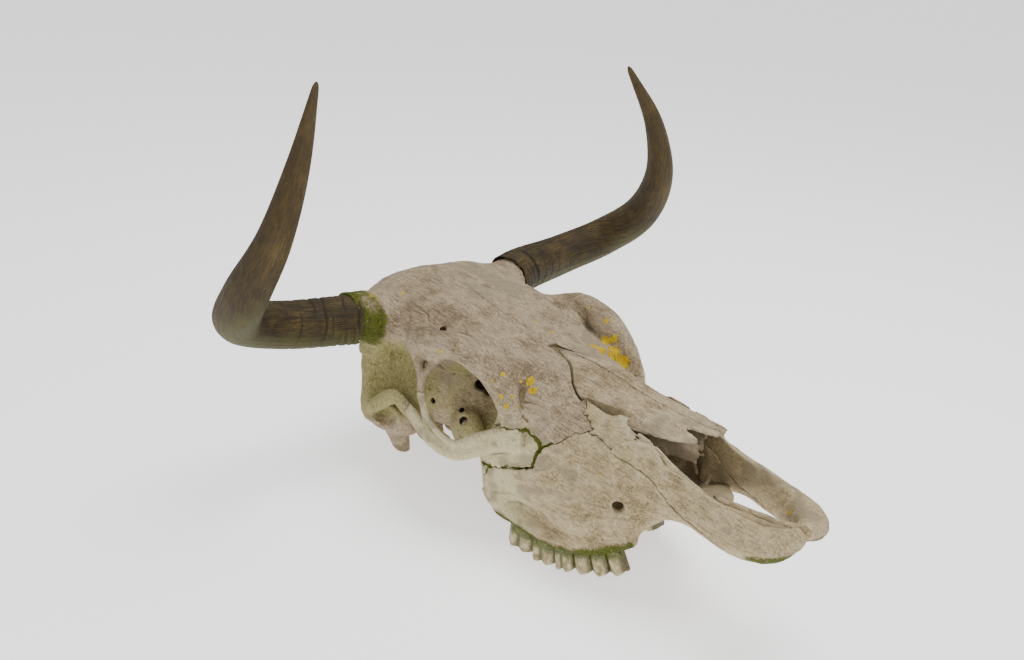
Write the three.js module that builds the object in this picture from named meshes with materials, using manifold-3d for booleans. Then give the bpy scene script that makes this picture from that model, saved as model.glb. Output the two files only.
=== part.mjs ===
// Weathered skull of a horned cow, life size, without its lower jaw.
//
// The bones are shaped in the skull's own frame: x runs forward from the poll to the nose, y to the
// animal's left, z up from the chewing plane of the teeth. One group then tips the whole skull nose up,
// the way it settles on its last molars and its two jugular processes.
import * as THREE from 'three';
import { mergeVertices } from 'three/addons/utils/BufferGeometryUtils.js';
import Module from 'manifold-3d';

const wasm = await Module();
wasm.setup();

// ---- driving sizes, millimetres and degrees -----------------------------------------------------
const NOSE_UP = 13.5; // tip of the skull at rest
const FLOOR_BELOW = 49.0; // height of the floor plane over the skull frame's origin, once tipped
const BOX_CENTRE_X = 208.1; // middle of the tipped skull along its length
const GAP = 0.35; // open suture between neighbouring bones
const MIDLINE_GAP = 0.35; // open suture between left and right bones
const FAR = 400; // reach of the blocks that cut the bones apart
const CHEEK_FROM = 62; // distance from the midline at which the cheek bones begin

// Eye socket: centre of its mouth, the way it faces, radius, thickness of its rim, depth, and how far
// below the mouth the hollow is widest.
const ORBIT = {
  x: 185,
  y: 90,
  z: 141,
  out: [0.49, 0.76, 0.43],
  radius: 40,
  rim: 4.5,
  depth: 50,
  widest: 2,
};
const FORAMEN_MAGNUM = { z: 113, radius: 18, inner: 14.5, from: -20, to: 26 };
const TOOTH = { height: 34, waist: 0.84 };
const TOOTH_ROW = { front: [347, 47.5], back: [205, 60.5], bow: 2.5, sag: 11 };
// Cheek teeth from front to back: length along the row, width, lobes. The first ones of the left side
// have fallen out of their sockets.
const TEETH = [[17, 15, 1], [19, 18, 1], [20, 20, 1], [23, 24, 2], [29, 25, 2], [32, 23, 2]];
const LOST_ON_THE_LEFT = 3;

// ---- station tables ------------------------------------------------------------------------------
// Sections square to x: half width, crown, level of the widest point, underside, and the roundness of
// the upper and the lower half (2 is an ellipse, more is boxier, less is leaner).
const FRONTAL = [
  [-4, 44, 228, 214, 200, 2.0, 2.0],
  [6, 64, 236, 214, 176, 2.0, 2.0],
  [24, 82, 241, 214, 158, 2.0, 2.0],
  [48, 90, 243, 213, 152, 2.1, 2.0],
  [76, 89, 235.5, 208, 150, 2.2, 2.0],
  [100, 86, 228, 202, 150, 2.2, 2.0],
  [128, 90, 220, 190, 150, 2.2, 2.0],
  [150, 96, 210.5, 183, 150, 2.3, 2.2],
  [180, 90, 198.5, 176, 145, 2.3, 2.4],
  [210, 84, 184, 158, 120, 2.1, 2.4],
  [240, 78, 174, 140, 100, 1.9, 2.4],
];
const BRAINCASE = [
  [-2, 60, 205, 140, 84, 2.6, 2.4],
  [20, 68, 210, 138, 82, 2.6, 2.4],
  [60, 68, 210, 138, 80, 2.6, 2.4],
  [100, 61, 205, 136, 78, 2.6, 2.4],
  [135, 48, 198, 130, 74, 2.8, 2.4],
  [165, 37, 190, 125, 66, 3.0, 2.6],
  [215, 40, 172, 115, 50, 3.0, 3.0],
];
const FACE = [
  [184, 78, 176, 104, 76, 2.4, 2.2],
  [200, 84, 180, 96, 40, 2.2, 2.4],
  [226, 87, 176, 98, 25, 2.0, 2.2],
  [254, 83, 172, 92, 17, 1.9, 2.2],
  [278, 79, 166, 74, 13, 1.65, 2.3],
  [301, 76.5, 159, 60, 14, 1.7, 2.4],
  [325, 67, 150, 54, 19, 2.0, 2.7],
  [345, 58, 142.5, 55, 30, 2.7, 2.8],
  [360, 50, 133, 62, 42, 2.9, 2.8],
  [370, 46, 121, 70, 50, 2.8, 2.8],
];
const NASAL_CAVITY = [
  [286, 18, 140, 100, 76, 2.0, 2.0],
  [303, 44, 156, 78, 48, 1.7, 2.6],
  [325, 57, 150, 66, 40, 1.9, 2.8],
  [345, 51, 146, 66, 44, 2.5, 2.8],
  [360, 43.5, 142, 70, 52, 3.2, 2.8],
  [376, 38.5, 138, 82, 60, 3.2, 2.8],
];
const PALATE_VAULT = [
  [180, 34, 44, 20, -20, 2.4, 4],
  [215, 44, 40, 20, -20, 2.4, 4],
  [260, 45, 34, 14, -20, 2.4, 4],
  [300, 42, 34, 14, -20, 2.4, 4],
  [335, 34, 40, 20, -20, 2.4, 4],
  [352, 26, 42, 26, -20, 2.4, 4],
];
const FRONT_PALATE = [
  [340, 48, 52, 42, 33, 2.6, 2.6],
  [362, 43, 60, 52, 46, 2.6, 2.6],
  [386, 38, 66, 61, 55, 2.6, 2.6],
  [404, 28, 66, 61, 56, 2.6, 2.6],
  [416, 12, 65, 60, 56, 2.6, 2.6],
];
// Nasal bones: x, half width, height of the ridge, fall from the ridge to the edge, thickness. They stay
// nearly level across the middle and steepen to the edges by this power.
const NASAL_STEEPENING = 3.2;
const NASALS = [
  [219, 4, 178.4, 2, 7],
  [234, 7, 176, 2.5, 7],
  [247, 10, 174.5, 4, 7],
  [260, 17, 172.5, 7, 7],
  [272, 26, 169.8, 13, 7],
  [286, 31.5, 165.6, 18, 7],
  [300, 32.5, 161.5, 20, 6],
  [325, 32, 151.5, 20, 5],
  [355, 30, 142.5, 16, 4.5],
  [385, 26, 134.8, 11, 4],
  [406, 20.5, 130.6, 7, 3.5],
  [417, 17, 128.8, 5, 3],
];

// Bars of bone on the left side: points of the middle line, then half breadth and half height there.
const BROW = [
  [112, 84, 190, 8, 9], [135, 90, 193, 11, 11], [160, 91, 195.5, 12, 11.5], [188, 86, 193, 12, 12],
  [211, 80.5, 183, 14, 14.5], [230, 77, 168, 13, 15.5], [242, 79, 144, 8.5, 13], [246, 80, 122, 7.5, 12],
];
const ORBIT_BAR = [
  [122, 88, 187, 8, 8], [136, 97, 172, 4.5, 7], [145, 104, 157, 3.2, 6.5], [149, 107, 143, 3, 6],
  [153, 108, 129, 3.2, 6], [160, 107, 114, 5, 7], [172, 105, 103, 7, 8],
];
const CHEEK = [
  [150, 106, 112, 6, 9], [166, 106, 102, 7, 10], [188, 103, 98, 7, 10], [212, 96, 106, 8, 11],
  [238, 86, 113, 8, 11], [256, 78, 112, 8, 10],
];
const ARCH = [
  [158, 107, 104, 6, 9], [142, 106, 112, 4.5, 9], [126, 105, 121.5, 4, 9.5], [110, 103.5, 129.5, 3.5, 10],
  [96, 102.5, 135, 3.5, 8], [78, 100, 131, 5, 8], [52, 96, 120, 8, 8], [28, 92, 112, 9, 8],
];
const JAW_JOINT = [[62, 45, 112, 22, 12], [62, 72, 105, 20, 10], [62, 97, 110, 14, 8]];
const EAR_PLATE = [
  [50, 93, 108, 24, 10], [50, 84, 100, 27, 12], [46, 74, 92, 25, 11], [38, 60, 84, 18, 10],
];
const JUGULAR = [
  [36, 62, 104, 16, 14], [28, 64, 88, 14, 12], [21, 57, 70, 12, 10], [13, 50, 56, 11.5, 8.5],
  [10, 46, 45, 8, 6],
];
const MASTOID = [[34, 58, 118, 20, 20], [33, 80, 114, 14, 17], [33, 97, 112, 7, 9]];
const SKULL_BASE = [[4, 0, 94, 26, 10], [50, 0, 84, 20, 9], [110, 0, 82, 13, 9], [170, 0, 78, 10, 12]];
const PTERYGOID = [
  [128, 24, 62, 3.5, 24], [150, 25, 62, 4, 24], [180, 28, 58, 5, 26], [212, 34, 52, 8, 26],
];
const TOOTH_BEARER = [
  [202, 60, 34, 11, 11], [240, 61, 25, 12, 12], [285, 58, 20, 12, 12], [322, 53, 25, 10, 11],
  [350, 48, 36, 8, 9],
];
const INCISIVE_BAR = [
  [362, 43, 90, 3, 33], [380, 41, 82, 3, 26], [398, 39, 79, 3.5, 22], [414, 38.5, 75, 4.5, 18.5],
  [430, 38, 69.5, 6, 18.5], [446, 37.5, 63.5, 8, 18], [461, 35.5, 59, 12, 17], [474, 31, 56, 15, 14.5],
  [484, 22.5, 55.5, 15, 12.5], [490, 13, 57, 11, 9.5], [492, 3, 58, 7, 7],
];
// Thin plate beside the nasal bone, leaning inwards: x, then y and z of its upper and of its lower edge,
// and half its thickness.
const NASAL_PROCESS = [
  [330, 38, 134.5, 56, 92, 2.2], [352, 36.5, 129.5, 52, 80, 2.2], [366, 35.5, 126, 48, 74, 2.2],
  [378, 35, 118.5, 45, 70, 2.2], [388, 35, 111.5, 43, 66, 2.3], [399, 34.7, 103.5, 42, 62, 2.4],
  [412, 34.7, 96, 41, 60, 2.8], [426, 35.5, 89, 40, 58, 3],
];
const PALATINE_PROCESS = [
  [392, 5, 65, 4.7, 4.5], [430, 4.6, 61, 4.4, 5], [458, 4.6, 57.5, 4.4, 5.5], [486, 5, 57, 5, 5.5],
];
const HORN_CORE = [
  [50, 56, 204, 32, 28], [48, 84, 209, 29, 26.5], [47, 102, 213.5, 26.5, 25.5], [47, 114, 215.6, 25, 24.5],
];

// Round masses of the left side: centre, then radii along x, y and z.
const TEMPLE_HOLLOW = [[82, 106, 148], [44, 40, 40]];
const CONDYLE = [[4, 28, 98], [17, 20, 23]];
const EAR_BULLA = [[60, 42, 78], [20, 11, 15]];
const BASE_TUBERCLE = [[62, 11, 76], [14, 9, 9]];
const JAW_TUBER = [[203, 58, 60], [20, 24, 33]];

// Horns: middle line from root to tip and its radius, and how far the left horn strays from the
// mean of the pair (the right one strays the other way).
const HORN = [
  [50.5, 92, 211, 28.2], [47.3, 113.4, 215.4, 27], [39, 186.4, 223.4, 24.6], [63.5, 238.2, 240.1, 23.3],
  [112.2, 251.2, 268, 21.6], [154.9, 239.8, 314.7, 16.7], [172.3, 217.7, 371.8, 11.3],
  [169, 187.4, 436.6, 3],
];
const HORN_STRAY = [
  [-2.8, 1, 3.4],  [-2.4, 2.1, 4.3], [-1.2, 0.5, 2.6], [-0.4, -0.6, 0.9], [-0.4, -0.5, -0.2],
  [-0.4, -0.1, -1.2], [-0.2, -0.4, -2.3], [-0.2, -0.6, -3.9],
];
const HORN_ROOT = { left: 0.02, right: 0.135 }; // share of the middle line where each sheath begins

// Side-view outlines (x, z) of the blocks that part the bones at their sutures.
const UPPER_JAW_OUTLINE = [
  [291, 150], [300, 137], [313, 125], [299, 120], [284, 112.5], [272, 108], [267, 90], [248, 87],
  [212, 82], [190, 60], [190, -20], [540, -20], [540, 150],
];
const INCISIVE_OUTLINE = [
  [280, 150], [295, 130], [310, 123], [320, 120.5], [340, 113], [362, 101], [382, 88], [391, 76],
  [404, 67], [420, 60], [436, 52], [450, 20], [540, 20], [540, 150],
];
const CHEEK_OUTLINE = [
  [116, 124], [134, 108], [140, 80], [212, 82], [248, 87], [267, 90], [272, 109], [256, 126],
  [222, 124], [205, 128], [160, 150], [130, 150],
];
const OCCIPUT_OUTLINE = [
  [0, 236], [40, 233], [68, 218], [82, 200], [84, 178], [91, 145], [98, 120], [96, 106], [80, 96],
  [62, 86], [30, 82], [0, 84],
];
const OCCIPUT_BEND = { forward: 30, at: 98 }; // how far the nape face swings forward towards its sides

// Plan outline (x, y) of the notch between the tip and the side prong of the left nasal bone.
const NASAL_NOTCH = [[430, 5], [390, 8.5], [392, 10.5], [430, 19]];

// ---- colours -------------------------------------------------------------------------------------
const FINISH = {
  cranium: { color: 0xa79e90, roughness: 0.85, metalness: 0 },
  cheek: { color: 0xb5b09b, roughness: 0.85, metalness: 0 },
  jaw: { color: 0xbcb3a0, roughness: 0.85, metalness: 0 },
  nasal: { color: 0xb3a998, roughness: 0.85, metalness: 0 },
  horn: { color: 0x4a4037, roughness: 0.6, metalness: 0 },
};

// ---- shaping helpers -----------------------------------------------------------------------------
const mirrorY = new THREE.Matrix4().makeScale(1, -1, 1);

// Value of one column of a table at position x, on a smooth curve through the rows.
function column(rows, index, x) {
  let i = 0;
  while (i < rows.length - 2 && x > rows[i + 1][0]) i += 1;
  const slope = (j) => {
    const a = rows[Math.max(j - 1, 0)];
    const b = rows[Math.min(j + 1, rows.length - 1)];
    return (b[index] - a[index]) / (b[0] - a[0]);
  };
  const run = rows[i + 1][0] - rows[i][0];
  const t = (x - rows[i][0]) / run;
  const rise = rows[i + 1][index] - rows[i][index];
  const curved = t * (1 - t) * ((1 - t) * (slope(i) * run - rise) - t * (slope(i + 1) * run - rise));
  return rows[i][index] + t * rise + curved;
}

// Closed skin round a line: a capped cylinder whose rings are put in place by a function of the
// share of the length and the angle.
function skin(around, along, place) {
  const geometry = new THREE.CylinderGeometry(1, 1, 1, around, along);
  const position = geometry.attributes.position;
  const point = new THREE.Vector3();
  for (let i = 0; i < position.count; i += 1) {
    point.fromBufferAttribute(position, i);
    const share = point.y + 0.5;
    const angle = Math.atan2(point.z, point.x);
    const inCap = Math.hypot(point.x, point.z) < 0.5;
    const spot = inCap ? place(share, 0).lerp(place(share, Math.PI), 0.5) : place(share, angle);
    position.setXYZ(i, spot.x, spot.y, spot.z);
  }
  return geometry;
}

const power = (value, roundness) => Math.sign(value) * Math.abs(value) ** (2 / roundness);

// Skin through sections that are square to x.
function loft(rows, around = 24, along = 12) {
  const first = rows[0][0];
  const last = rows[rows.length - 1][0];
  return skin(around, along, (share, angle) => {
    const x = first + share * (last - first);
    const [width, crown, waist, under, upper, lower] = [1, 2, 3, 4, 5, 6].map((k) => column(rows, k, x));
    const roundness = Math.sin(angle) >= 0 ? upper : lower;
    const reach = Math.sin(angle) >= 0 ? crown - waist : waist - under;
    return new THREE.Vector3(
      x,
      width * power(Math.cos(angle), roundness),
      waist + reach * power(Math.sin(angle), roundness),
    );
  });
}

// Bar of oval section along a smooth line: rows of x, y, z, half breadth, half height.
function bar(rows, around = 10, along = 10) {
  const line = new THREE.CatmullRomCurve3(rows.map(([x, y, z]) => new THREE.Vector3(x, y, z)));
  const indexed = rows.map((row, i) => [i, ...row]);
  const up = new THREE.Vector3(0, 0, 1);
  return skin(around, along, (share, angle) => {
    const tangent = line.getTangent(share);
    const side = new THREE.Vector3().crossVectors(tangent, up).normalize();
    const over = new THREE.Vector3().crossVectors(side, tangent);
    const at = share * (rows.length - 1);
    return line
      .getPoint(share)
      .addScaledVector(side, column(indexed, 4, at) * Math.cos(angle))
      .addScaledVector(over, column(indexed, 5, at) * Math.sin(angle));
  });
}

// Bar that leaves the skull sideways: its half breadth lies along x.
function sidewaysBar(rows, around = 12, along = 6) {
  const line = new THREE.CatmullRomCurve3(rows.map(([x, y, z]) => new THREE.Vector3(x, y, z)));
  const indexed = rows.map((row, i) => [i, ...row]);
  const forward = new THREE.Vector3(1, 0, 0);
  return skin(around, along, (share, angle) => {
    const tangent = line.getTangent(share);
    const over = new THREE.Vector3().crossVectors(tangent, forward).normalize();
    const side = new THREE.Vector3().crossVectors(over, tangent);
    const at = share * (rows.length - 1);
    return line
      .getPoint(share)
      .addScaledVector(side, column(indexed, 4, at) * Math.cos(angle))
      .addScaledVector(over, column(indexed, 5, at) * Math.sin(angle));
  });
}

// Thin plate that stands along x and leans.
function leaningPlate(rows, around = 6, along = 8) {
  const first = rows[0][0];
  const last = rows[rows.length - 1][0];
  return skin(around, along, (share, angle) => {
    const x = first + share * (last - first);
    const [topY, topZ, lowY, lowZ, half] = [1, 2, 3, 4, 5].map((k) => column(rows, k, x));
    const lift = new THREE.Vector3(0, topY - lowY, topZ - lowZ).multiplyScalar(0.5);
    const across = new THREE.Vector3(0, lift.z, -lift.y).setLength(half);
    return new THREE.Vector3(x, (topY + lowY) / 2, (topZ + lowZ) / 2)
      .addScaledVector(lift, Math.sin(angle))
      .addScaledVector(across, Math.cos(angle));
  });
}

function ball([[x, y, z], [rx, ry, rz]], around, rings) {
  return new THREE.SphereGeometry(1, around, rings).scale(rx, ry, rz).translate(x, y, z);
}

// Outline moved outwards by a margin, corner by corner.
function grown(outline, margin) {
  const turning = THREE.ShapeUtils.area(outline.map(([x, z]) => new THREE.Vector2(x, z)));
  const count = outline.length;
  const outward = (a, b) => {
    const square = new THREE.Vector2(b[1] - a[1], a[0] - b[0]).normalize();
    return square.multiplyScalar(Math.sign(turning));
  };
  return outline.map((corner, i) => {
    const before = outward(outline[(i + count - 1) % count], corner);
    const after = outward(corner, outline[(i + 1) % count]);
    const middle = before.clone().add(after).normalize();
    const push = margin / middle.dot(after);
    return [corner[0] + middle.x * push, corner[1] + middle.y * push];
  });
}

// Block with a side-view outline (x, z), reaching from one y to another.
function sideBlock(outline, yFrom, yTo) {
  const shape = new THREE.Shape(outline.map(([x, z]) => new THREE.Vector2(x, z)));
  const block = new THREE.ExtrudeGeometry(shape, { depth: yTo - yFrom, bevelEnabled: false });
  return block.rotateX(Math.PI / 2).translate(0, yTo, 0);
}

// Block with a rear-view outline of its left half (y, z), reaching from one x to another.
function rearBlock(outline, xFrom, xTo) {
  const right = outline.slice(1, -1).reverse().map(([y, z]) => [-y, z]);
  const shape = new THREE.Shape([...outline, ...right].map(([y, z]) => new THREE.Vector2(y, z)));
  const block = new THREE.ExtrudeGeometry(shape, { depth: xTo - xFrom, bevelEnabled: false });
  const turn = new THREE.Matrix4().makeBasis(
    new THREE.Vector3(0, 1, 0),
    new THREE.Vector3(0, 0, 1),
    new THREE.Vector3(1, 0, 0),
  );
  block.applyMatrix4(turn).translate(xFrom, 0, 0);
  const position = block.attributes.position;
  for (let i = 0; i < position.count; i += 1) {
    const swing = OCCIPUT_BEND.forward * (position.getY(i) / OCCIPUT_BEND.at) ** 2;
    position.setX(i, position.getX(i) + swing);
  }
  return block;
}

// Closed solid of a geometry, faces out whatever way round it was laid.
function solid(geometry) {
  const bare = geometry.clone();
  bare.deleteAttribute('normal');
  bare.deleteAttribute('uv');
  const merged = mergeVertices(bare, 1e-4);
  const corners = merged.attributes.position.array;
  const triangles = Uint32Array.from(merged.index.array);
  const made = (triVerts) => new wasm.Manifold(
    new wasm.Mesh({ numProp: 3, vertProperties: corners, triVerts }),
  );
  const first = made(triangles);
  return first.volume() > 0 ? first : made(triangles.reverse());
}

const pair = (geometry) => [solid(geometry), solid(geometry.clone().applyMatrix4(mirrorY))];
const joined = (solids) => solids.reduce((sum, next) => sum.add(next));
const without = (body, solids) => solids.reduce((rest, next) => rest.subtract(next), body);

// ---- the skull as one mass -----------------------------------------------------------------------
function eyeSocket() {
  const out = new THREE.Vector3(...ORBIT.out).normalize();
  const turn = new THREE.Quaternion().setFromUnitVectors(new THREE.Vector3(0, 0, 1), out);
  const deep = new THREE.Vector3(ORBIT.x, ORBIT.y, ORBIT.z).addScaledVector(out, -ORBIT.widest);
  const hollow = new THREE.SphereGeometry(1, 14, 8).scale(ORBIT.radius, ORBIT.radius, ORBIT.depth);
  return hollow.applyQuaternion(turn).translate(deep.x, deep.y, deep.z);
}

function eyeRim() {
  const out = new THREE.Vector3(...ORBIT.out).normalize();
  const turn = new THREE.Quaternion().setFromUnitVectors(new THREE.Vector3(0, 0, 1), out);
  const ring = new THREE.TorusGeometry(ORBIT.radius + ORBIT.rim * 0.6, ORBIT.rim, 4, 16);
  return ring.applyQuaternion(turn).translate(ORBIT.x, ORBIT.y, ORBIT.z);
}

// Height over the chewing plane's ends that the tooth row has at a share of its length.
const rowSag = (share) => -TOOTH_ROW.sag * 4 * share * (1 - share);

function toothOutline(reach, half, lobes) {
  const count = lobes * 2;
  const side = [...Array(count + 1).keys()].map((k) => {
    const share = k / count;
    const bulge = TOOTH.waist + (1 - TOOTH.waist) * Math.abs(Math.sin(Math.PI * lobes * share));
    return new THREE.Vector2((2 * share - 1) * reach, half * bulge);
  });
  return new THREE.Shape([...side, ...side.map((p) => new THREE.Vector2(p.x, -p.y)).reverse()]);
}

function toothRow() {
  const [x0, y0] = TOOTH_ROW.front;
  const [x1, y1] = TOOTH_ROW.back;
  const total = TEETH.reduce((sum, [length]) => sum + length, 0);
  const rowLength = Math.hypot(x1 - x0, y1 - y0);
  let run = 0;
  return TEETH.map(([length, width, lobes]) => {
    const share = (run + length / 2) / total;
    run += length;
    const reach = (length / total) * rowLength * 0.48;
    const outline = toothOutline(reach, width / 2, lobes);
    const tooth = new THREE.ExtrudeGeometry(outline, { depth: TOOTH.height, bevelEnabled: false });
    const bow = TOOTH_ROW.bow * Math.sin(Math.PI * share);
    const lean = Math.atan2(8 * TOOTH_ROW.sag * (share - 0.5), rowLength);
    return tooth
      .rotateY(lean)
      .rotateZ(-Math.atan2(y1 - y0, x0 - x1))
      .translate(x0 + share * (x1 - x0), y0 + share * (y1 - y0) + bow, rowSag(share));
  });
}

function frontalAndBraincase() {
  const hornCores = pair(sidewaysBar(HORN_CORE, 12, 3));
  const temples = pair(ball(TEMPLE_HOLLOW, 10, 7));
  const mass = joined([
    solid(loft(FRONTAL, 16, 9)),
    solid(loft(BRAINCASE, 10, 5)),
    solid(rearBlock(OCCIPUT_OUTLINE, -2, 30)),
  ]);
  const hollowed = without(mass, temples);
  return joined([hollowed, ...hornCores]);
}

function skullBase() {
  return joined([
    solid(bar(SKULL_BASE, 6, 3)),
    ...pair(ball(CONDYLE, 8, 6)),
    ...pair(sidewaysBar(EAR_PLATE, 6, 2)),
    ...pair(sidewaysBar(JUGULAR, 6, 4)),
    ...pair(sidewaysBar(MASTOID, 6, 3)),
    ...pair(sidewaysBar(JAW_JOINT, 6, 2)),
    ...pair(ball(EAR_BULLA, 6, 4)),
    ...pair(ball(BASE_TUBERCLE, 6, 4)),
    ...pair(bar(PTERYGOID, 6, 3)),
  ]);
}

function eyeRegion() {
  return joined([...pair(bar(BROW, 6, 9)), ...pair(bar(ORBIT_BAR, 6, 6)), ...pair(eyeRim())]);
}

function cheeksAndArches() {
  return joined([...pair(bar(CHEEK, 6, 6)), ...pair(bar(ARCH, 6, 8))]);
}

function muzzle() {
  const cavity = solid(loft(NASAL_CAVITY, 12, 6));
  const walls = solid(loft(FACE, 16, 10)).subtract(cavity);
  const mass = joined([
    walls,
    solid(loft(FRONT_PALATE, 8, 4)),
    ...pair(ball(JAW_TUBER, 8, 6)),
    ...pair(bar(TOOTH_BEARER, 6, 6)),
    ...pair(leaningPlate(NASAL_PROCESS)),
    ...pair(bar(INCISIVE_BAR, 6, 12)),
    ...pair(bar(PALATINE_PROCESS, 5, 3)),
  ]);
  const vaulted = mass.subtract(solid(loft(PALATE_VAULT, 10, 5)));
  const teeth = toothRow().map((tooth) => pair(tooth));
  const lost = teeth.slice(0, LOST_ON_THE_LEFT).map(([left]) => left);
  const kept = teeth.flatMap(([left, right], i) => (i < LOST_ON_THE_LEFT ? [right] : [left, right]));
  return joined([without(vaulted, lost), ...kept]);
}

// Thin arched shell of both nasal bones, grown by a margin on all sides, square to its own surface.
function nasalShell(margin) {
  const first = NASALS[0][0];
  const last = NASALS[NASALS.length - 1][0];
  return skin(12, 10, (share, angle) => {
    const x = first + share * (last - first);
    const [half, ridge, fall, thick] = [1, 2, 3, 4].map((k) => column(NASALS, k, x));
    const across = Math.cos(angle);
    const drop = fall * Math.abs(across) ** NASAL_STEEPENING;
    const steepness = (NASAL_STEEPENING * drop) / (half * (Math.abs(across) + 1e-6));
    const slope = Math.atan(steepness) * Math.sign(across);
    const lift = (thick / 2 + margin) * power(Math.sin(angle), 4);
    return new THREE.Vector3(
      x + margin * (2 * share - 1),
      half * across + margin * across * Math.cos(slope) + lift * Math.sin(slope),
      ridge - thick / 2 - drop - margin * Math.abs(across * Math.sin(slope)) + lift * Math.cos(slope),
    );
  });
}

function nasalNotch() {
  const notch = new THREE.Shape(NASAL_NOTCH.map(([x, y]) => new THREE.Vector2(x, y)));
  return new THREE.ExtrudeGeometry(notch, { depth: FAR, bevelEnabled: false });
}

// Horn sheath of one side, grown by a margin over its sides and its root.
function horn(name, margin) {
  const side = name === 'left' ? 1 : -1;
  const points = HORN.map(([x, y, z], i) => {
    const [dx, dy, dz] = HORN_STRAY[i];
    return new THREE.Vector3(x + side * dx, side * y + dy, z + side * dz);
  });
  const line = new THREE.CatmullRomCurve3(points);
  const radii = HORN.map((row, i) => [i, row[3]]);
  const forward = new THREE.Vector3(1, 0, 0);
  return skin(12, 18, (share, angle) => {
    const along = HORN_ROOT[name] + share * (1 - HORN_ROOT[name]);
    const tangent = line.getTangent(along);
    const over = new THREE.Vector3().crossVectors(tangent, forward).normalize();
    const across = new THREE.Vector3().crossVectors(over, tangent);
    const radius = column(radii, 1, along * (HORN.length - 1)) + margin;
    return line
      .getPoint(along)
      .addScaledVector(tangent, share === 0 ? -margin : 0)
      .addScaledVector(across, radius * Math.cos(angle))
      .addScaledVector(over, radius * Math.sin(angle));
  });
}

// ---- parting the mass into bones -----------------------------------------------------------------
const tip = new THREE.Matrix4().makeRotationY(THREE.MathUtils.degToRad(-NOSE_UP));
const floorBlock = solid(
  new THREE.BoxGeometry(3 * FAR, 3 * FAR, FAR)
    .translate(FAR / 2, 0, FLOOR_BELOW - FAR / 2)
    .applyMatrix4(tip.clone().invert()),
);

function spineHole() {
  const { z, radius, inner, from, to } = FORAMEN_MAGNUM;
  const bore = new THREE.CylinderGeometry(radius, inner, to - from, 14);
  return bore.rotateZ(Math.PI / 2).translate((from + to) / 2, 0, z);
}

const sockets = pair(eyeSocket());
const rearMass = joined([frontalAndBraincase(), skullBase()]).subtract(solid(spineHole()));
const faceMass = muzzle();
const whole = joined([without(joined([rearMass, faceMass]), sockets), eyeRegion(), cheeksAndArches()]);
const skull = without(whole, [floorBlock, solid(horn('left', GAP)), solid(horn('right', GAP))]);

const nasalBones = without(solid(nasalShell(0)), pair(nasalNotch()));
const aboveNasals = solid(nasalShell(GAP)).add(solid(nasalShell(GAP).translate(0, 0, 6)));
const withoutNasals = skull.subtract(aboveNasals);

function cheekBlocks(margin) {
  return pair(sideBlock(grown(CHEEK_OUTLINE, margin), CHEEK_FROM - margin, FAR));
}

const jawBlock = (margin) => solid(sideBlock(grown(UPPER_JAW_OUTLINE, margin), -FAR, FAR));
const incisiveBlock = (margin) => solid(sideBlock(grown(INCISIVE_OUTLINE, margin), -FAR, FAR));

const sides = {
  left: solid(new THREE.BoxGeometry(3 * FAR, FAR, 3 * FAR).translate(0, FAR / 2 + MIDLINE_GAP / 2, 0)),
  right: solid(new THREE.BoxGeometry(3 * FAR, FAR, 3 * FAR).translate(0, -FAR / 2 - MIDLINE_GAP / 2, 0)),
};

const cheekPart = withoutNasals.intersect(joined(cheekBlocks(0)));
const cheekless = without(withoutNasals, cheekBlocks(GAP));
const jawPart = cheekless.intersect(jawBlock(0));
const craniumPart = cheekless.subtract(jawBlock(GAP));
const incisivePart = jawPart.intersect(incisiveBlock(0));
const maxillaPart = jawPart.subtract(incisiveBlock(GAP));

// ---- the scene -----------------------------------------------------------------------------------
function largest(body) {
  return body.decompose().sort((a, b) => b.volume() - a.volume())[0];
}

function bone(name, body, finish) {
  const { vertProperties, triVerts } = largest(body).getMesh();
  const geometry = new THREE.BufferGeometry();
  geometry.setAttribute('position', new THREE.BufferAttribute(vertProperties, 3));
  geometry.setIndex(new THREE.BufferAttribute(triVerts, 1));
  const mesh = new THREE.Mesh(geometry, new THREE.MeshStandardMaterial(FINISH[finish]));
  mesh.name = name;
  return mesh;
}

const skullGroup = new THREE.Group();
skullGroup.add(bone('cranium', craniumPart, 'cranium'));
for (const [name, side] of Object.entries(sides)) {
  skullGroup.add(bone(`zygomatic_${name}`, cheekPart.intersect(side), 'cheek'));
  skullGroup.add(bone(`maxilla_${name}`, maxillaPart.intersect(side), 'jaw'));
  skullGroup.add(bone(`incisive_${name}`, incisivePart.intersect(side), 'jaw'));
  skullGroup.add(bone(`nasal_${name}`, nasalBones.intersect(side), 'nasal'));
  skullGroup.add(bone(`horn_${name}`, solid(horn(name, 0)), 'horn'));
}
skullGroup.rotation.y = THREE.MathUtils.degToRad(-NOSE_UP);
skullGroup.position.set(-BOX_CENTRE_X, 0, -FLOOR_BELOW);

const part = new THREE.Group();
part.add(skullGroup);

export default part;
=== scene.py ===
import math

import bpy
import numpy as np
import openvdb
from mathutils import Matrix, Vector


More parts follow.
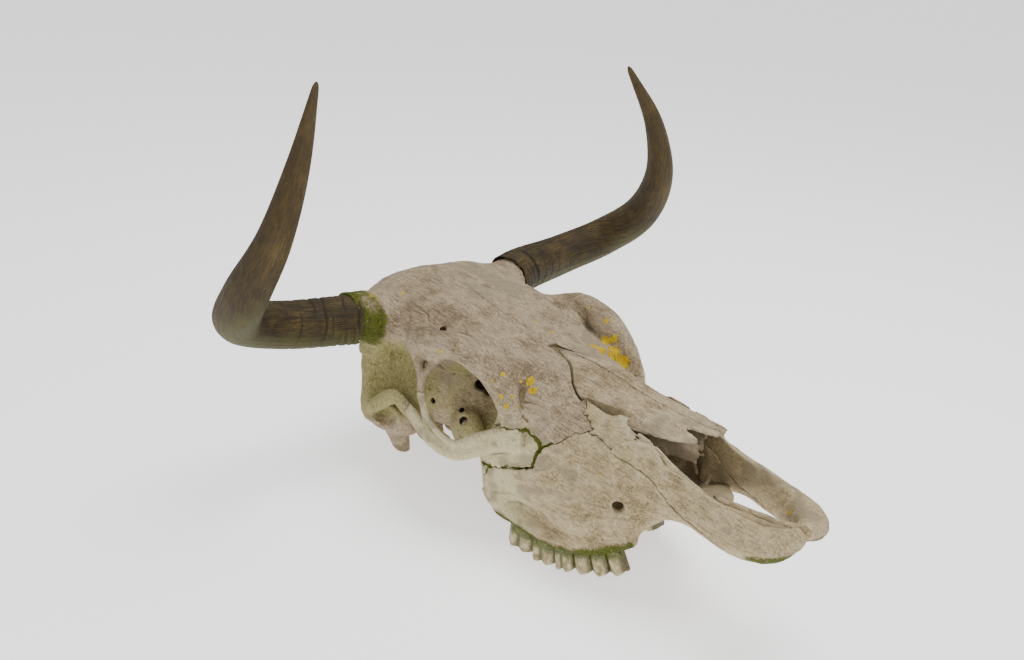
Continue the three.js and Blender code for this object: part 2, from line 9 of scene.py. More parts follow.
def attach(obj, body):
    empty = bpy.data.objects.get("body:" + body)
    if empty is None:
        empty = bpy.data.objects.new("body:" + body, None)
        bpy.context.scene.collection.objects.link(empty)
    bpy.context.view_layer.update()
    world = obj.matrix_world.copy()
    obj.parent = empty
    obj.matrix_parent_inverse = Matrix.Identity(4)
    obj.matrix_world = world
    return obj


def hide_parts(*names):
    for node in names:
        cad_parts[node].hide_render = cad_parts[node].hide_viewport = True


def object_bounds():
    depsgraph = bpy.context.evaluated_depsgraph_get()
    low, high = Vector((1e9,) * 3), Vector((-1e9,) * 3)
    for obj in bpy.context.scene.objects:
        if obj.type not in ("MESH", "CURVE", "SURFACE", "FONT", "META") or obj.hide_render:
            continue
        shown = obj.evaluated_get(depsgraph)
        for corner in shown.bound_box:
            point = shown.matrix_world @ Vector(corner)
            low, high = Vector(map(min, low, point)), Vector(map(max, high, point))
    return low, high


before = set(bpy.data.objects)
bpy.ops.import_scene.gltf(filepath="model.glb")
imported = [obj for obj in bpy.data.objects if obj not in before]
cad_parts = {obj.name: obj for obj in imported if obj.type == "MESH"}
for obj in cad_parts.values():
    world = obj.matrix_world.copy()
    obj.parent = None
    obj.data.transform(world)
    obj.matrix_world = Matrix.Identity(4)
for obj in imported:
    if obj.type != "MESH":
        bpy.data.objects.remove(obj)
cad_low, cad_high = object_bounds()

# ---- sizes, millimetres and degrees --------------------------------------------------------------
NOSE_UP = 13.5
FLOOR_BELOW = 49.0
BOX_CENTRE_X = 208.1
FORWARD = np.array([1.0, 0.0, 0.0])
UP = np.array([0.0, 0.0, 1.0])

VOXEL = 1.2  # pitch of the block that the bone is worked in
LOW = (-12.0, 0.6, -10.0)  # its first cell, on the left side of the midline
CELLS = (430, 106, 224)
BAND = 6  # cells on either side of a surface whose distance is kept
FAR = BAND * VOXEL

ORBIT = {"centre": (185, 90, 141), "out": (0.49, 0.76, 0.43), "radius": 40, "rim": 4.5, "depth": 50}
SPINE_HOLE_LEVEL = 113
TOOTH_HEIGHT = 34
TOOTH_ROW = {"front": (347, 47.5), "back": (205, 60.5), "bow": 2.5, "sag": 11}
TEETH = [(17, 15, 1), (19, 18, 1), (20, 20, 1), (23, 24, 2), (29, 25, 2), (32, 23, 2)]
LOST_ON_THE_LEFT = 3  # teeth that have fallen out of their sockets, counted from the front

# ---- station tables ------------------------------------------------------------------------------
# Sections square to x: half width, crown, level of the widest point, underside, and the roundness above and
# below it (2 is an ellipse, more is boxier, less is leaner).
FRONTAL = [
    (-4, 44, 228, 214, 200, 2.0, 2.0), (6, 64, 236, 214, 176, 2.0, 2.0), (24, 82, 241, 214, 158, 2.0, 2.0),
    (48, 90, 243, 213, 152, 2.1, 2.0), (76, 89, 235.5, 208, 150, 2.2, 2.0), (100, 86, 228, 202, 150, 2.2, 2.0),
    (128, 90, 220, 190, 150, 2.2, 2.0), (150, 96, 210.5, 183, 150, 2.3, 2.2),
    (180, 90, 198.5, 176, 145, 2.3, 2.4), (210, 84, 184, 158, 120, 2.1, 2.4),
    (240, 78, 174, 140, 100, 1.9, 2.4),
]
BRAINCASE = [
    (-2, 60, 205, 140, 84, 2.6, 2.4), (20, 68, 210, 138, 82, 2.6, 2.4), (60, 68, 210, 138, 80, 2.6, 2.4),
    (100, 61, 205, 136, 78, 2.6, 2.4), (135, 48, 198, 130, 74, 2.8, 2.4), (165, 37, 190, 125, 66, 3.0, 2.6),
    (215, 40, 172, 115, 50, 3.0, 3.0),
]
FACE = [
    (184, 78, 176, 104, 76, 2.4, 2.2), (200, 84, 180, 96, 40, 2.2, 2.4), (226, 87, 176, 98, 25, 2.0, 2.2),
    (254, 83, 172, 92, 17, 1.9, 2.2), (278, 79, 166, 74, 13, 1.65, 2.3), (301, 76.5, 159, 60, 14, 1.7, 2.4),
    (325, 67, 150, 54, 19, 2.0, 2.7), (345, 58, 142.5, 55, 30, 2.7, 2.8), (360, 50, 133, 62, 42, 2.9, 2.8),
    (370, 46, 121, 70, 50, 2.8, 2.8),
]
NASAL_CAVITY = [
    (286, 18, 140, 100, 76, 2.0, 2.0), (303, 44, 156, 78, 48, 1.7, 2.6), (325, 57, 150, 66, 40, 1.9, 2.8),
    (345, 51, 146, 66, 44, 2.5, 2.8), (360, 43.5, 142, 70, 52, 3.2, 2.8), (376, 38.5, 138, 82, 60, 3.2, 2.8),
]
PALATE_VAULT = [
    (180, 34, 44, 20, -20, 2.4, 4), (215, 44, 40, 20, -20, 2.4, 4), (260, 45, 34, 14, -20, 2.4, 4),
    (300, 42, 34, 14, -20, 2.4, 4), (335, 34, 40, 20, -20, 2.4, 4), (352, 26, 42, 26, -20, 2.4, 4),
]
FRONT_PALATE = [
    (340, 48, 52, 42, 33, 2.6, 2.6), (362, 43, 60, 52, 46, 2.6, 2.6), (386, 38, 66, 61, 55, 2.6, 2.6),
    (404, 28, 66, 61, 56, 2.6, 2.6), (416, 12, 65, 60, 56, 2.6, 2.6),
]
# Nasal bones: x, half width, height of the ridge, fall from the ridge to the edge, thickness.
NASALS = [
    (219, 4, 178.4, 2, 7), (234, 7, 176, 2.5, 7), (247, 10, 174.5, 4, 7), (260, 17, 172.5, 7, 7),
    (272, 26, 169.8, 13, 7), (286, 31.5, 165.6, 18, 7),
    (300, 32.5, 161.5, 20, 6), (325, 32, 151.5, 20, 5), (355, 30, 142.5, 16, 4.5), (385, 26, 134.8, 11, 4),
    (406, 20.5, 130.6, 7, 3.5), (417, 17, 128.8, 5, 3),
]
NASAL_STEEPENING = 3.2
NASAL_NOTCH = [
    (432, 4.5), (417, 7), (404, 9), (396, 10.2), (392.5, 11.6), (391.6, 13), (392.6, 14.4), (396, 15.6),
    (402, 16.2), (406.5, 17.2), (408.5, 19.2), (407, 22), (412, 34), (432, 34),
]

# Bars of bone on the left side: points of the middle line, then half breadth and half height there.
BROW = [
    (112, 84, 190, 8, 9), (135, 90, 193, 11, 11), (160, 91, 195.5, 12, 11.5), (188, 86, 193, 12, 12),
    (211, 80.5, 183, 14, 14.5), (230, 77, 168, 13, 15.5), (242, 79, 144, 8.5, 13), (246, 80, 122, 7.5, 12),
]
ORBIT_BAR = [
    (122, 88, 187, 8, 8), (136, 97, 172, 4.5, 7), (145, 104, 157, 3.2, 6.5), (149, 107, 143, 3, 6),
    (153, 108, 129, 3.2, 6), (160, 107, 114, 5, 7), (172, 105, 103, 7, 8),
]
CHEEK = [
    (150, 106, 112, 6, 9), (166, 106, 102, 7, 10), (188, 103, 98, 7, 10), (212, 96, 106, 8, 11),
    (238, 86, 113, 8, 11), (256, 78, 112, 8, 10),
]
ARCH = [
    (158, 107, 104, 6, 9), (142, 106, 112, 4.5, 9), (126, 105, 121.5, 4, 9.5), (110, 103.5, 129.5, 3.5, 10),
    (96, 102.5, 135, 3.5, 8), (78, 100, 131, 5, 8), (52, 96, 120, 8, 8), (28, 92, 112, 9, 8),
]
JAW_JOINT = [(62, 45, 112, 22, 12), (62, 72, 105, 20, 10), (62, 97, 110, 14, 8)]
EAR_PLATE = [(50, 93, 108, 24, 10), (50, 84, 100, 27, 12), (46, 74, 92, 25, 11), (38, 60, 84, 18, 10)]
JUGULAR = [
    (36, 62, 104, 16, 14), (28, 64, 88, 14, 12), (21, 57, 70, 12, 10), (13, 50, 56, 11.5, 8.5),
    (10, 46, 45, 8, 6),
]
MASTOID = [(34, 58, 118, 20, 20), (33, 80, 114, 14, 17), (33, 97, 112, 7, 9)]
SKULL_BASE = [(4, 0, 94, 26, 10), (50, 0, 84, 20, 9), (110, 0, 82, 13, 9), (170, 0, 78, 10, 12)]
PTERYGOID = [(128, 24, 62, 3.5, 24), (150, 25, 62, 4, 24), (180, 28, 58, 5, 26), (212, 34, 52, 8, 26)]
TOOTH_BEARER = [
    (202, 60, 34, 11, 11), (240, 61, 25, 12, 12), (285, 58, 20, 12, 12), (322, 53, 25, 10, 11),
    (350, 48, 36, 8, 9),
]
INCISIVE_BAR = [
    (344, 53, 86, 2.5, 24), (362, 43, 90, 3, 33), (380, 41, 82, 3, 26), (398, 39, 79, 3.5, 22),
    (414, 38.5, 75, 4.5, 18.5),
    (430, 38, 69.5, 6, 18.5), (446, 37.5, 63.5, 8, 18), (461, 35.5, 59, 12, 17), (474, 31, 56, 15, 14.5),
    (484, 22.5, 55.5, 15, 12.5), (490, 13, 57, 11, 9.5), (492, 3, 58, 7, 7),
]
# Thin plate beside the nasal bone: x, then y and z of its upper and of its lower edge, half its thickness.
NASAL_PROCESS = [
    (330, 38, 134.5, 56, 92, 2.2), (352, 36.5, 129.5, 52, 80, 2.2), (366, 35.5, 126, 48, 74, 2.2),
    (378, 35, 118.5, 45, 70, 2.2), (388, 35, 111.5, 43, 66, 2.3), (399, 34.7, 103.5, 42, 62, 2.4),
    (412, 34.7, 96, 41, 60, 2.8), (426, 35.5, 89, 40, 58, 3),
]
PALATINE_PROCESS = [
    (392, 5, 65, 4.7, 4.5), (430, 4.6, 61, 4.4, 5), (458, 4.6, 57.5, 4.4, 5.5), (486, 5, 57, 5, 5.5),
]
# Scroll of thin bone that stands in the nose behind the nasal bones.
TURBINATE = [
    (280, 13, 116, 4, 24), (330, 12.5, 115, 3.4, 18), (370, 12, 113.5, 2.8, 12), (400, 11.5, 112, 2.4, 12.5),
    (420, 11, 110.5, 2, 13),
]
HORN_CORE = [
    (50, 56, 204, 31, 27), (48, 84, 209, 28, 25.5), (47, 102, 213.5, 25, 24), (47, 124, 217, 23.5, 23),
]

# Lumps and hollows: middle and half axes.
TEMPLE_HOLLOW = ((82, 106, 148), (44, 40, 40))
TEMPLE_FRONT = ((112, 114, 152), (24, 26, 30))
CONDYLE = ((4, 28, 98), (17, 20, 23))
EAR_BULLA = ((60, 42, 78), (20, 11, 15))
BASE_TUBERCLE = ((62, 11, 76), (14, 9, 9))
JAW_TUBER = ((203, 58, 60), (20, 24, 33))

# Horns: middle line from root to tip and its radius, and how far the left horn strays from the mean.
HORN = [
    (50.5, 92, 211, 28.2), (47.3, 113.4, 215.4, 27), (39, 186.4, 223.4, 24.6), (63.5, 238.2, 240.1, 23.3),
    (112.2, 251.2, 268, 21.6), (154.9, 239.8, 314.7, 16.7), (172.3, 217.7, 371.8, 11.3), (169, 187.4, 436.6, 3),
]
HORN_STRAY = [
    (-2.8, 1, 3.4), (-2.4, 2.1, 4.3), (-1.2, 0.5, 2.6), (-0.4, -0.6, 0.9),
    (-0.4, -0.5, -0.2), (-0.4, -0.1, -1.2), (-0.2, -0.4, -2.3), (-0.2, -0.6, -3.9),
]
HORN_ROOT = {"left": 0.02, "right": 0.135}
CORE_END = {"left": 99, "right": 116}  # distance from the midline at which each bony core stops
GROWTH_RINGS = [  # distance from the root, and depth
    (3.5, 1.1), (8, 1.3), (13.5, 1.1), (21, 1.6), (28, 0.8), (38, 1.4), (51, 0.9), (68, 0.9), (90, 0.5),
]

# Side-view outlines (x, z) of the blocks that part the bones at their sutures.
UPPER_JAW_OUTLINE = [
    (291, 150), (300, 137), (313, 125), (299, 120), (284, 112.5), (272, 108), (267, 90), (248, 87), (212, 82),
    (190, 60), (190, -20), (540, -20), (540, 150),
]
INCISIVE_OUTLINE = [
    (280, 150), (295, 130), (310, 123), (320, 120.5), (340, 113), (362, 101), (382, 88), (391, 76), (404, 67),
    (420, 60), (436, 52), (450, 20), (540, 20), (540, 150),
]
CHEEK_OUTLINE = [
    (116, 124), (134, 108), (140, 80), (212, 82), (248, 87), (267, 90), (272, 109), (256, 126), (222, 124),
    (205, 128), (160, 150), (130, 150),
]
CHEEK_FROM = 62
OCCIPUT_OUTLINE = [
    (0, 236), (40, 233), (68, 218), (82, 200), (84, 178), (91, 145), (98, 120), (96, 106), (80, 96), (62, 86),
    (30, 82), (0, 84),
]
OCCIPUT_BEND = (30, 98)


# ---- curves and skins ----------------------------------------------------------------------------
def column(rows, k, x):
    """One column of a table at x, on a smooth curve through the rows."""
    table = np.asarray(rows, float)
    x = np.asarray(x, float)
    i = np.clip(np.searchsorted(table[:, 0], x, side="left") - 1, 0, len(table) - 2)
    before = np.maximum(np.arange(len(table)) - 1, 0)
    after = np.minimum(np.arange(len(table)) + 1, len(table) - 1)
    slope = (table[after, k] - table[before, k]) / (table[after, 0] - table[before, 0])
    run = table[i + 1, 0] - table[i, 0]
    t = (x - table[i, 0]) / run
    rise = table[i + 1, k] - table[i, k]
    curved = t * (1 - t) * ((1 - t) * (slope[i] * run - rise) - t * (slope[i + 1] * run - rise))
    return table[i, k] + t * rise + curved


def along(points, share):
    """Point on a smooth line through the points (centripetal), at a share of its spans."""
    p = np.asarray(points, float)
    p = np.vstack([2 * p[0] - p[1], p, 2 * p[-1] - p[-2]])
    spans = len(p) - 3
    at = np.clip(np.asarray(share, float), 0, 1) * spans
    i = np.minimum(at.astype(int), spans - 1)
    t = (at - i)[..., None]
    a, b, c, d = p[i], p[i + 1], p[i + 2], p[i + 3]
    pairs = ((a, b), (b, c), (c, d))
    step = [np.maximum(np.linalg.norm(v - u, axis=-1, keepdims=True), 1e-4) ** 0.5 for u, v in pairs]
    start = (b - a) / step[0] - (c - a) / (step[0] + step[1]) + (c - b) / step[1]
    finish = (c - b) / step[1] - (d - b) / (step[1] + step[2]) + (d - c) / step[2]
    start, finish = start * step[1], finish * step[1]
    square = -3 * b + 3 * c - 2 * start - finish
    cube = 2 * b - 2 * c + start + finish
    return b + start * t + square * t**2 + cube * t**3


def heading(points, share):
    """Unit vector along the smooth line at a share of it."""
    ahead = along(points, np.minimum(share + 1e-4, 1)) - along(points, np.maximum(share - 1e-4, 0))
    return ahead / np.linalg.norm(ahead, axis=-1, keepdims=True)


def unit(v):
    return v / np.linalg.norm(v, axis=-1, keepdims=True)


def rounded(value, roundness):
    """A sine or cosine reshaped, so that an oval section becomes boxier or leaner."""
    return np.sign(value) * np.abs(value) ** (2 / roundness)


def ring_quads(count, around):
    """Four-sided faces between this many rings of points, each ring closed on itself."""
    i, j = np.meshgrid(np.arange(count - 1), np.arange(around), indexing="ij")
    k = (j + 1) % around
    corners = [i * around + j, i * around + k, (i + 1) * around + k, (i + 1) * around + j]
    return np.stack(corners, -1).reshape(-1, 4)


def skin(place, around, rings):
    """Closed skin: rings of points put in place by a function of length share and angle, and two caps."""
    angles = np.linspace(0, 2 * math.pi, around, endpoint=False)
    share, angle = np.meshgrid(np.linspace(0, 1, rings), angles, indexing="ij")
    ring = place(share, angle)
    points = np.vstack([ring.reshape(-1, 3), ring[0].mean(0), ring[-1].mean(0)])
    quads = ring_quads(rings, around)
    j = np.arange(around)
    k = (j + 1) % around
    last = (rings - 1) * around
    first_cap = np.stack([k, j, np.full(around, rings * around)], -1)
    last_cap = np.stack([last + j, last + k, np.full(around, rings * around + 1)], -1)
    return points, quads, np.vstack([first_cap, last_cap])


def loft(rows, around=120, rings=150):
    """Skin through sections square to x."""

    def place(share, angle):
        x = rows[0][0] + share * (rows[-1][0] - rows[0][0])
        width, crown, waist, under, upper, lower = (column(rows, k, x) for k in range(1, 7))
        above = np.sin(angle) >= 0
        roundness = np.where(above, upper, lower)
        reach = np.where(above, crown - waist, waist - under)
        out = width * rounded(np.cos(angle), roundness)
        up = waist + reach * rounded(np.sin(angle), roundness)
        return np.stack([x, out, up], -1)

    return skin(place, around, rings)


def bar(rows, sideways=False, around=48, rings=80):
    """Bar of oval section along a smooth line; a sideways one keeps its breadth along x."""
    table = np.asarray(rows, float)
    indexed = np.column_stack([np.arange(len(table)), table])

    def place(share, angle):
        ahead = heading(table[:, :3], share)
        if sideways:
            over = unit(np.cross(ahead, FORWARD))
            side = np.cross(over, ahead)
        else:
            side = unit(np.cross(ahead, UP))
            over = np.cross(side, ahead)
        at = share * (len(table) - 1)
        wide = column(indexed, 4, at) * np.cos(angle)
        high = column(indexed, 5, at) * np.sin(angle)
        return along(table[:, :3], share) + side * wide[..., None] + over * high[..., None]

    return skin(place, around, rings)


def nasal_skin():
    """Thin roof of the left half of the nose, steeper the further it is from the midline."""
    first, last = NASALS[0][0], NASALS[-1][0]

    def place(share, angle):
        x = first + share * (last - first)
        half, ridge, fall, thick = (column(NASALS, k, x) for k in range(1, 5))
        across = np.cos(angle)
        drop = fall * np.abs(across) ** NASAL_STEEPENING
        slope = np.arctan(NASAL_STEEPENING * drop / (half * (np.abs(across) + 1e-6))) * np.sign(across)
        lift = thick / 2 * rounded(np.sin(angle), 4)
        level = ridge - thick / 2 - drop
        return np.stack([x, half * across + lift * np.sin(slope), level + lift * np.cos(slope)], -1)

    return skin(place, 120, 160)


def leaning_plate(rows):
    """Thin plate between an upper and a lower edge that run beside each other along x."""

    def place(share, angle):
        x = rows[0][0] + share * (rows[-1][0] - rows[0][0])
        top_y, top_z, low_y, low_z, half = (column(rows, k, x) for k in range(1, 6))
        lift = np.stack([0 * x, top_y - low_y, top_z - low_z], -1) / 2
        across = unit(np.stack([0 * x, lift[..., 2], -lift[..., 1]], -1))
        middle = np.stack([x, (top_y + low_y) / 2, (top_z + low_z) / 2], -1)
        rise = rounded(np.sin(angle), 3)[..., None]
        return middle + lift * rise + across * (half * rounded(np.cos(angle), 3))[..., None]

    return skin(place, 60, 80)


# ---- the block of distances ----------------------------------------------------------------------
def cells_between(low, high):
    """Slices of the left half's cells between two corners, and their coordinates."""
    first = [max(0, math.floor((low[k] - LOW[k]) / VOXEL)) for k in range(3)]
    last = [min(CELLS[k], math.ceil((high[k] - LOW[k]) / VOXEL) + 1) for k in range(3)]
    where = tuple(slice(a, max(a + 1, b)) for a, b in zip(first, last))
    spots = np.ogrid[where]
    return where, [LOW[k] + VOXEL * spots[k].astype(np.float32) for k in range(3)]


def of_skin(shape):
    """Distance from a closed skin, in the cells around it."""
    points, quads, triangles = shape
    index = (points - np.array(LOW)) / VOXEL
    first = np.clip(np.floor(index.min(0)).astype(int) - BAND - 1, 0, None)
    last = np.minimum(np.ceil(index.max(0)).astype(int) + BAND + 2, CELLS)
    grid = openvdb.FloatGrid.createLevelSetFromPolygons(
        np.ascontiguousarray(index, np.float32),
        triangles=np.ascontiguousarray(triangles, np.uint32),
        quads=np.ascontiguousarray(quads, np.uint32),
        transform=openvdb.createLinearTransform(1.0),
        halfWidth=BAND,
    )
    block = np.zeros(tuple(last - first), np.float32)
    grid.copyToArray(block, ijk=tuple(int(v) for v in first))
    return tuple(slice(a, b) for a, b in zip(first, last)), block * VOXEL


def of_ball(centre, radii):
    """Egg-shaped lump: its middle and its three half axes."""
    reach = max(radii) + FAR
    where, spot = cells_between([c - reach for c in centre], [c + reach for c in centre])
    local = [spot[k] - centre[k] for k in range(3)]
    scaled = np.sqrt(sum((local[k] / radii[k]) ** 2 for k in range(3)))
    steep = np.sqrt(sum((local[k] / radii[k] ** 2) ** 2 for k in range(3)))
    return where, scaled * (scaled - 1) / np.maximum(steep, 1e-6)


def of_rod(points):
    """Chain of round rods: rows of x, y, z and radius."""
    p = np.asarray(points, float)
    reach = p[:, 3].max() + FAR
    where, spot = cells_between(p[:, :3].min(0) - reach, p[:, :3].max(0) + reach)
    best = None
    for a, b in zip(p[:-1], p[1:]):
        run = b[:3] - a[:3]
        local = [spot[k] - a[k] for k in range(3)]
        t = np.clip(sum(local[k] * run[k] for k in range(3)) / (run @ run), 0, 1)
        away = np.sqrt(sum((local[k] - t * run[k]) ** 2 for k in range(3))) - (a[3] + t * (b[3] - a[3]))
        best = away if best is None else np.minimum(best, away)
    return where, best


def socket_turn():
    """Rows that turn the skull's frame to the socket's: sideways, up its mouth, and out of it."""
    out = unit(np.array(ORBIT["out"]))
    side = unit(np.cross(UP, out))
    return np.array([side, np.cross(out, side), out])


def socket_cells():
    """Cells round the eye socket: distance from its axis, height over its mouth, its radius and the turn.

    The mouth is an uneven oval, tightest below and behind.
    """
    centre = ORBIT["centre"]
    reach = 66
    where, spot = cells_between([c - reach for c in centre], [c + reach for c in centre])
    local = [spot[k] - centre[k] for k in range(3)]
    u, v, w = (sum(row[j] * local[j] for j in range(3)) for row in socket_turn())
    turn = np.arctan2(v, -u)
    oval = 1.4 * np.cos(turn) + 1.9 * np.sin(turn) - 1.1 * np.cos(2 * turn) - 4.4 * np.sin(2 * turn)
    return where, np.hypot(u, v), w, ORBIT["radius"] - 1.0 + oval, turn


def of_socket():
    """Hollow of the eye socket, half an egg deep."""
    where, away, height, radius, _ = socket_cells()
    scaled = np.sqrt((away / radius) ** 2 + ((height + 2) / ORBIT["depth"]) ** 2)
    steep = np.sqrt((away / radius**2) ** 2 + ((height + 2) / ORBIT["depth"] ** 2) ** 2)
    return where, scaled * (scaled - 1) / np.maximum(steep, 1e-6)


def of_socket_rim():
    """Raised lip of the socket, thinnest on the bar behind the eye."""
    where, away, height, radius, turn = socket_cells()
    thick = ORBIT["rim"] * (0.8 + 0.2 * np.cos(turn))
    return where, np.hypot(away - radius - 0.85 * thick, height) - thick


def outline_distance(outline, a, b):
    """Signed distance from an outline in the plane, negative inside."""
    p = np.asarray(outline, float)
    nearest = np.full(np.broadcast(a, b).shape, 1e9)
    inside = np.zeros(nearest.shape, bool)
    for (ax, az), (bx, bz) in zip(p, np.roll(p, -1, axis=0)):
        ex, ez = bx - ax, bz - az
        t = np.clip(((a - ax) * ex + (b - az) * ez) / (ex * ex + ez * ez), 0, 1)
        nearest = np.minimum(nearest, (a - ax - t * ex) ** 2 + (b - az - t * ez) ** 2)
        crossing = ((az > b) != (bz > b)) & (a < ex * (b - az) / (ez if ez else 1e-9) + ax)
        inside ^= crossing
    return np.where(inside, -1, 1) * np.sqrt(nearest)


def of_occiput():
    """Plate of the nape: its outline from the side, bent forward towards its edges."""
    where, (x, y, z) = cells_between((-12, 0, 70), (75, 110, 250))
    forward, at = OCCIPUT_BEND
    ahead = x - forward * (y / at) ** 2
    plan = outline_distance(OCCIPUT_OUTLINE, y[0], z[0])[None]
    return where, smooth_max(smooth_max(plan, -2 - ahead, 9), ahead - 30, 9).astype(np.float32)


def smooth_min(a, b, soft):
    """The smaller of two distances, run together over a width of about `soft` millimetres."""
    near = np.maximum(soft - np.abs(a - b), 0) / soft
    return np.minimum(a, b) - near * near * soft / 4


def smooth_max(a, b, soft):
    return -smooth_min(-a, -b, soft)


def add(block, piece, soft=4.0):
    where, distance = piece
    block[where] = smooth_min(block[where], distance, soft)


def cut(block, piece, soft=2.0):
    where, distance = piece
    block[where] = smooth_max(block[where], -distance, soft)


def cloud(size, seed, shape):
    """Soft random field from -1 to 1 with lumps of about this size in millimetres."""
    rng = np.random.default_rng(seed)
    counts = [int(n * VOXEL / size) + 3 for n in shape]
    values = rng.uniform(-1, 1, counts).astype(np.float32)
    for axis, n in enumerate(shape):
        at = np.arange(n) * VOXEL / size
        i = at.astype(int)
        t = at - i
        t = (t * t * (3 - 2 * t)).astype(np.float32)
        form = [1, 1, 1]
        form[axis] = n
        t = t.reshape(form)
        values = np.take(values, i, axis) * (1 - t) + np.take(values, i + 1, axis) * t
    return values


# ---- the left half of the skull ------------------------------------------------------------------
def cranium_half():
    block = np.full(CELLS, FAR, np.float32)
    add(block, of_skin(loft(FRONTAL)), 1)
    add(block, of_skin(loft(BRAINCASE)), 6)
    add(block, of_occiput(), 24)
    for hollow, soft in ((TEMPLE_HOLLOW, 4), (TEMPLE_FRONT, 5)):
        cut(block, of_ball(*hollow), soft)
    add(block, of_skin(bar(HORN_CORE, True)), 12)
    for row in (JUGULAR, EAR_PLATE, MASTOID, JAW_JOINT):
        add(block, of_skin(bar(row, True)), 6)
    for row in (SKULL_BASE, PTERYGOID):
        add(block, of_skin(bar(row)), 4)
    for lump in (CONDYLE, EAR_BULLA, BASE_TUBERCLE):
        add(block, of_ball(*lump), 4)
    return block


def nape_details(block):
    """Crest and hollows of the nape, the hole of the spinal cord, and what lies beside the condyles."""
    add(block, of_rod([(3, 0, 160, 5), (3, 0, 196, 7), (3, 0, 212, 6)]), 8)  # crest on the midline
    cut(block, of_ball((-12, 40, 168), (14, 30, 34)), 8)  # muscle hollows beside it
    cut(block, of_ball((2, 78, 150), (12, 22, 34)), 8)
    level = SPINE_HOLE_LEVEL
    cut(block, of_rod([(-24, 0, level, 20), (-4, 0, level, 17.5), (28, 0, level - 2, 14)]), 4)
    cut(block, of_rod([(-16, 0, 84, 12), (30, 0, 78, 6)]), 5)  # notch between the condyles
    cut(block, of_rod([(14, 48, 92, 3), (30, 40, 96, 4)]), 3)  # groove between condyle and jugular knob
    cut(block, of_ball((24, 100, 115), (4, 5, 4)), 2)  # pit in the mastoid
    cut(block, of_ball((62, 96, 108), (16, 8, 9)), 6)  # ear hollow


def face_half():
    block = np.full(CELLS, FAR, np.float32)
    add(block, of_skin(loft(FACE)), 1)
    add(block, of_skin(leaning_plate(NASAL_PROCESS)), 3)
    add(block, of_ball((296, 64, 46), (22, 11, 8)), 12)  # facial tuber
    cut(block, of_ball((322, 76, 96), (36, 17, 24)), 16)  # hollow flank in front of it
    cut(block, of_skin(loft(NASAL_CAVITY)), 2)
    add(block, of_skin(loft(FRONT_PALATE, 80, 80)), 3)
    add(block, of_ball(*JAW_TUBER), 12)
    add(block, of_skin(bar(TOOTH_BEARER)), 14)
    add(block, of_skin(bar(INCISIVE_BAR)), 4)
    add(block, of_skin(bar(PALATINE_PROCESS)), 3)
    cut(block, of_skin(loft(PALATE_VAULT)), 4)
    return block


def skull_half():
    block = cranium_half()
    nape_details(block)
    np.copyto(block, smooth_min(block, face_half(), 4))
    cut(block, of_socket(), 3)
    socket_details(block)
    add(block, of_skin(bar(BROW)), 11)
    add(block, of_skin(bar(ORBIT_BAR)), 5)
    add(block, of_socket_rim(), 4)
    for piece in (bar(CHEEK), bar(ARCH)):
        add(block, of_skin(piece), 4)
    surface_details(block)
    return block


# Recess that narrows towards the nerve holes at the back of the eye socket.
RECESS = [(200, 72, 168), (186, 58, 161), (169, 42, 150), (156, 28, 138)]


def socket_details(block):
    """Deeper recess, holes and plates in the wall of the eye socket."""
    add(block, of_ball((212, 66, 94), (24, 16, 12)), 8)  # floor of the socket
    add(block, of_ball((138, 50, 94), (24, 11, 22)), 6)  # wall below and behind it
    cut(block, of_rod([(*p, r) for p, r in zip(RECESS, (7, 11, 13, 11))]), 5)
    # Nerve holes, from the uppermost to the one that runs back under the braincase.
    cut(block, of_rod([(158, 48, 141, 6), (146, 34, 138, 5), (136, 22, 134, 4)]), 2)
    cut(block, of_rod([(172, 46, 137, 5), (160, 30, 134, 4.5), (152, 18, 132, 4)]), 2)
    cut(block, of_rod([(150, 64, 112, 4.4), (128, 45, 97, 4.4), (106, 28, 86, 4.6), (84, 12, 77, 5)]), 2.5)
    cut(block, of_rod([(146, 62, 121, 2.6), (128, 46, 110, 3.4), (108, 31, 100, 3)]), 2)
    cut(block, of_rod([(99, 62, 121, 3), (90, 50, 118, 2.5)]), 1.5)


def surface_details(block):
    """Foramina, grooves and soft hollows of the outer surface."""
    # Groove over the brow, and the hole in it.
    groove = [(108, 72, 219, 3), (128, 72, 213, 4), (146, 71, 207, 5), (168, 63, 203, 3.6)]
    cut(block, of_rod(groove + [(200, 51, 191, 2.4)]), 8)
    cut(block, of_rod([(148, 72, 207, 3), (136, 66, 198, 2.6)]), 1)
    # Infraorbital hole.
    cut(block, of_rod([(354, 61, 62, 5.4), (342, 52, 66, 4.8), (330, 44, 68, 4)]), 2)
    # Gap where frontal bone, nasal bone and maxilla meet.
    cut(block, of_rod([(274, 30, 160, 2.2), (283, 33, 153, 3.2), (291, 37, 146, 1.8)]), 1)
    cut(block, of_rod([(274, 26, 158, 3.0), (284, 30, 150, 4.2), (290, 34, 146, 2.6)]), 2)
    # Shallow groove along the cheek bone.
    cut(block, of_rod([(166, 114, 108, 2.6), (190, 113, 101, 3), (214, 106, 105, 3), (236, 97, 117, 2.4)]), 6)


# ---- whole skull ---------------------------------------------------------------------------------
half = skull_half()
nasal_half = np.full(CELLS, FAR, np.float32)
add(nasal_half, of_skin(nasal_skin()), 0.5)
where, (nx, ny, _) = cells_between((380, 0, 100), (432, 30, 150))
notch = outline_distance(NASAL_NOTCH, nx[:, :, 0], ny[:, :, 0])[:, :, None].astype(np.float32)
cut(nasal_half, (where, np.broadcast_to(notch, nasal_half[where].shape)), 1.0)


def both_sides(block):
    return np.concatenate([block[:, ::-1], block], axis=1)


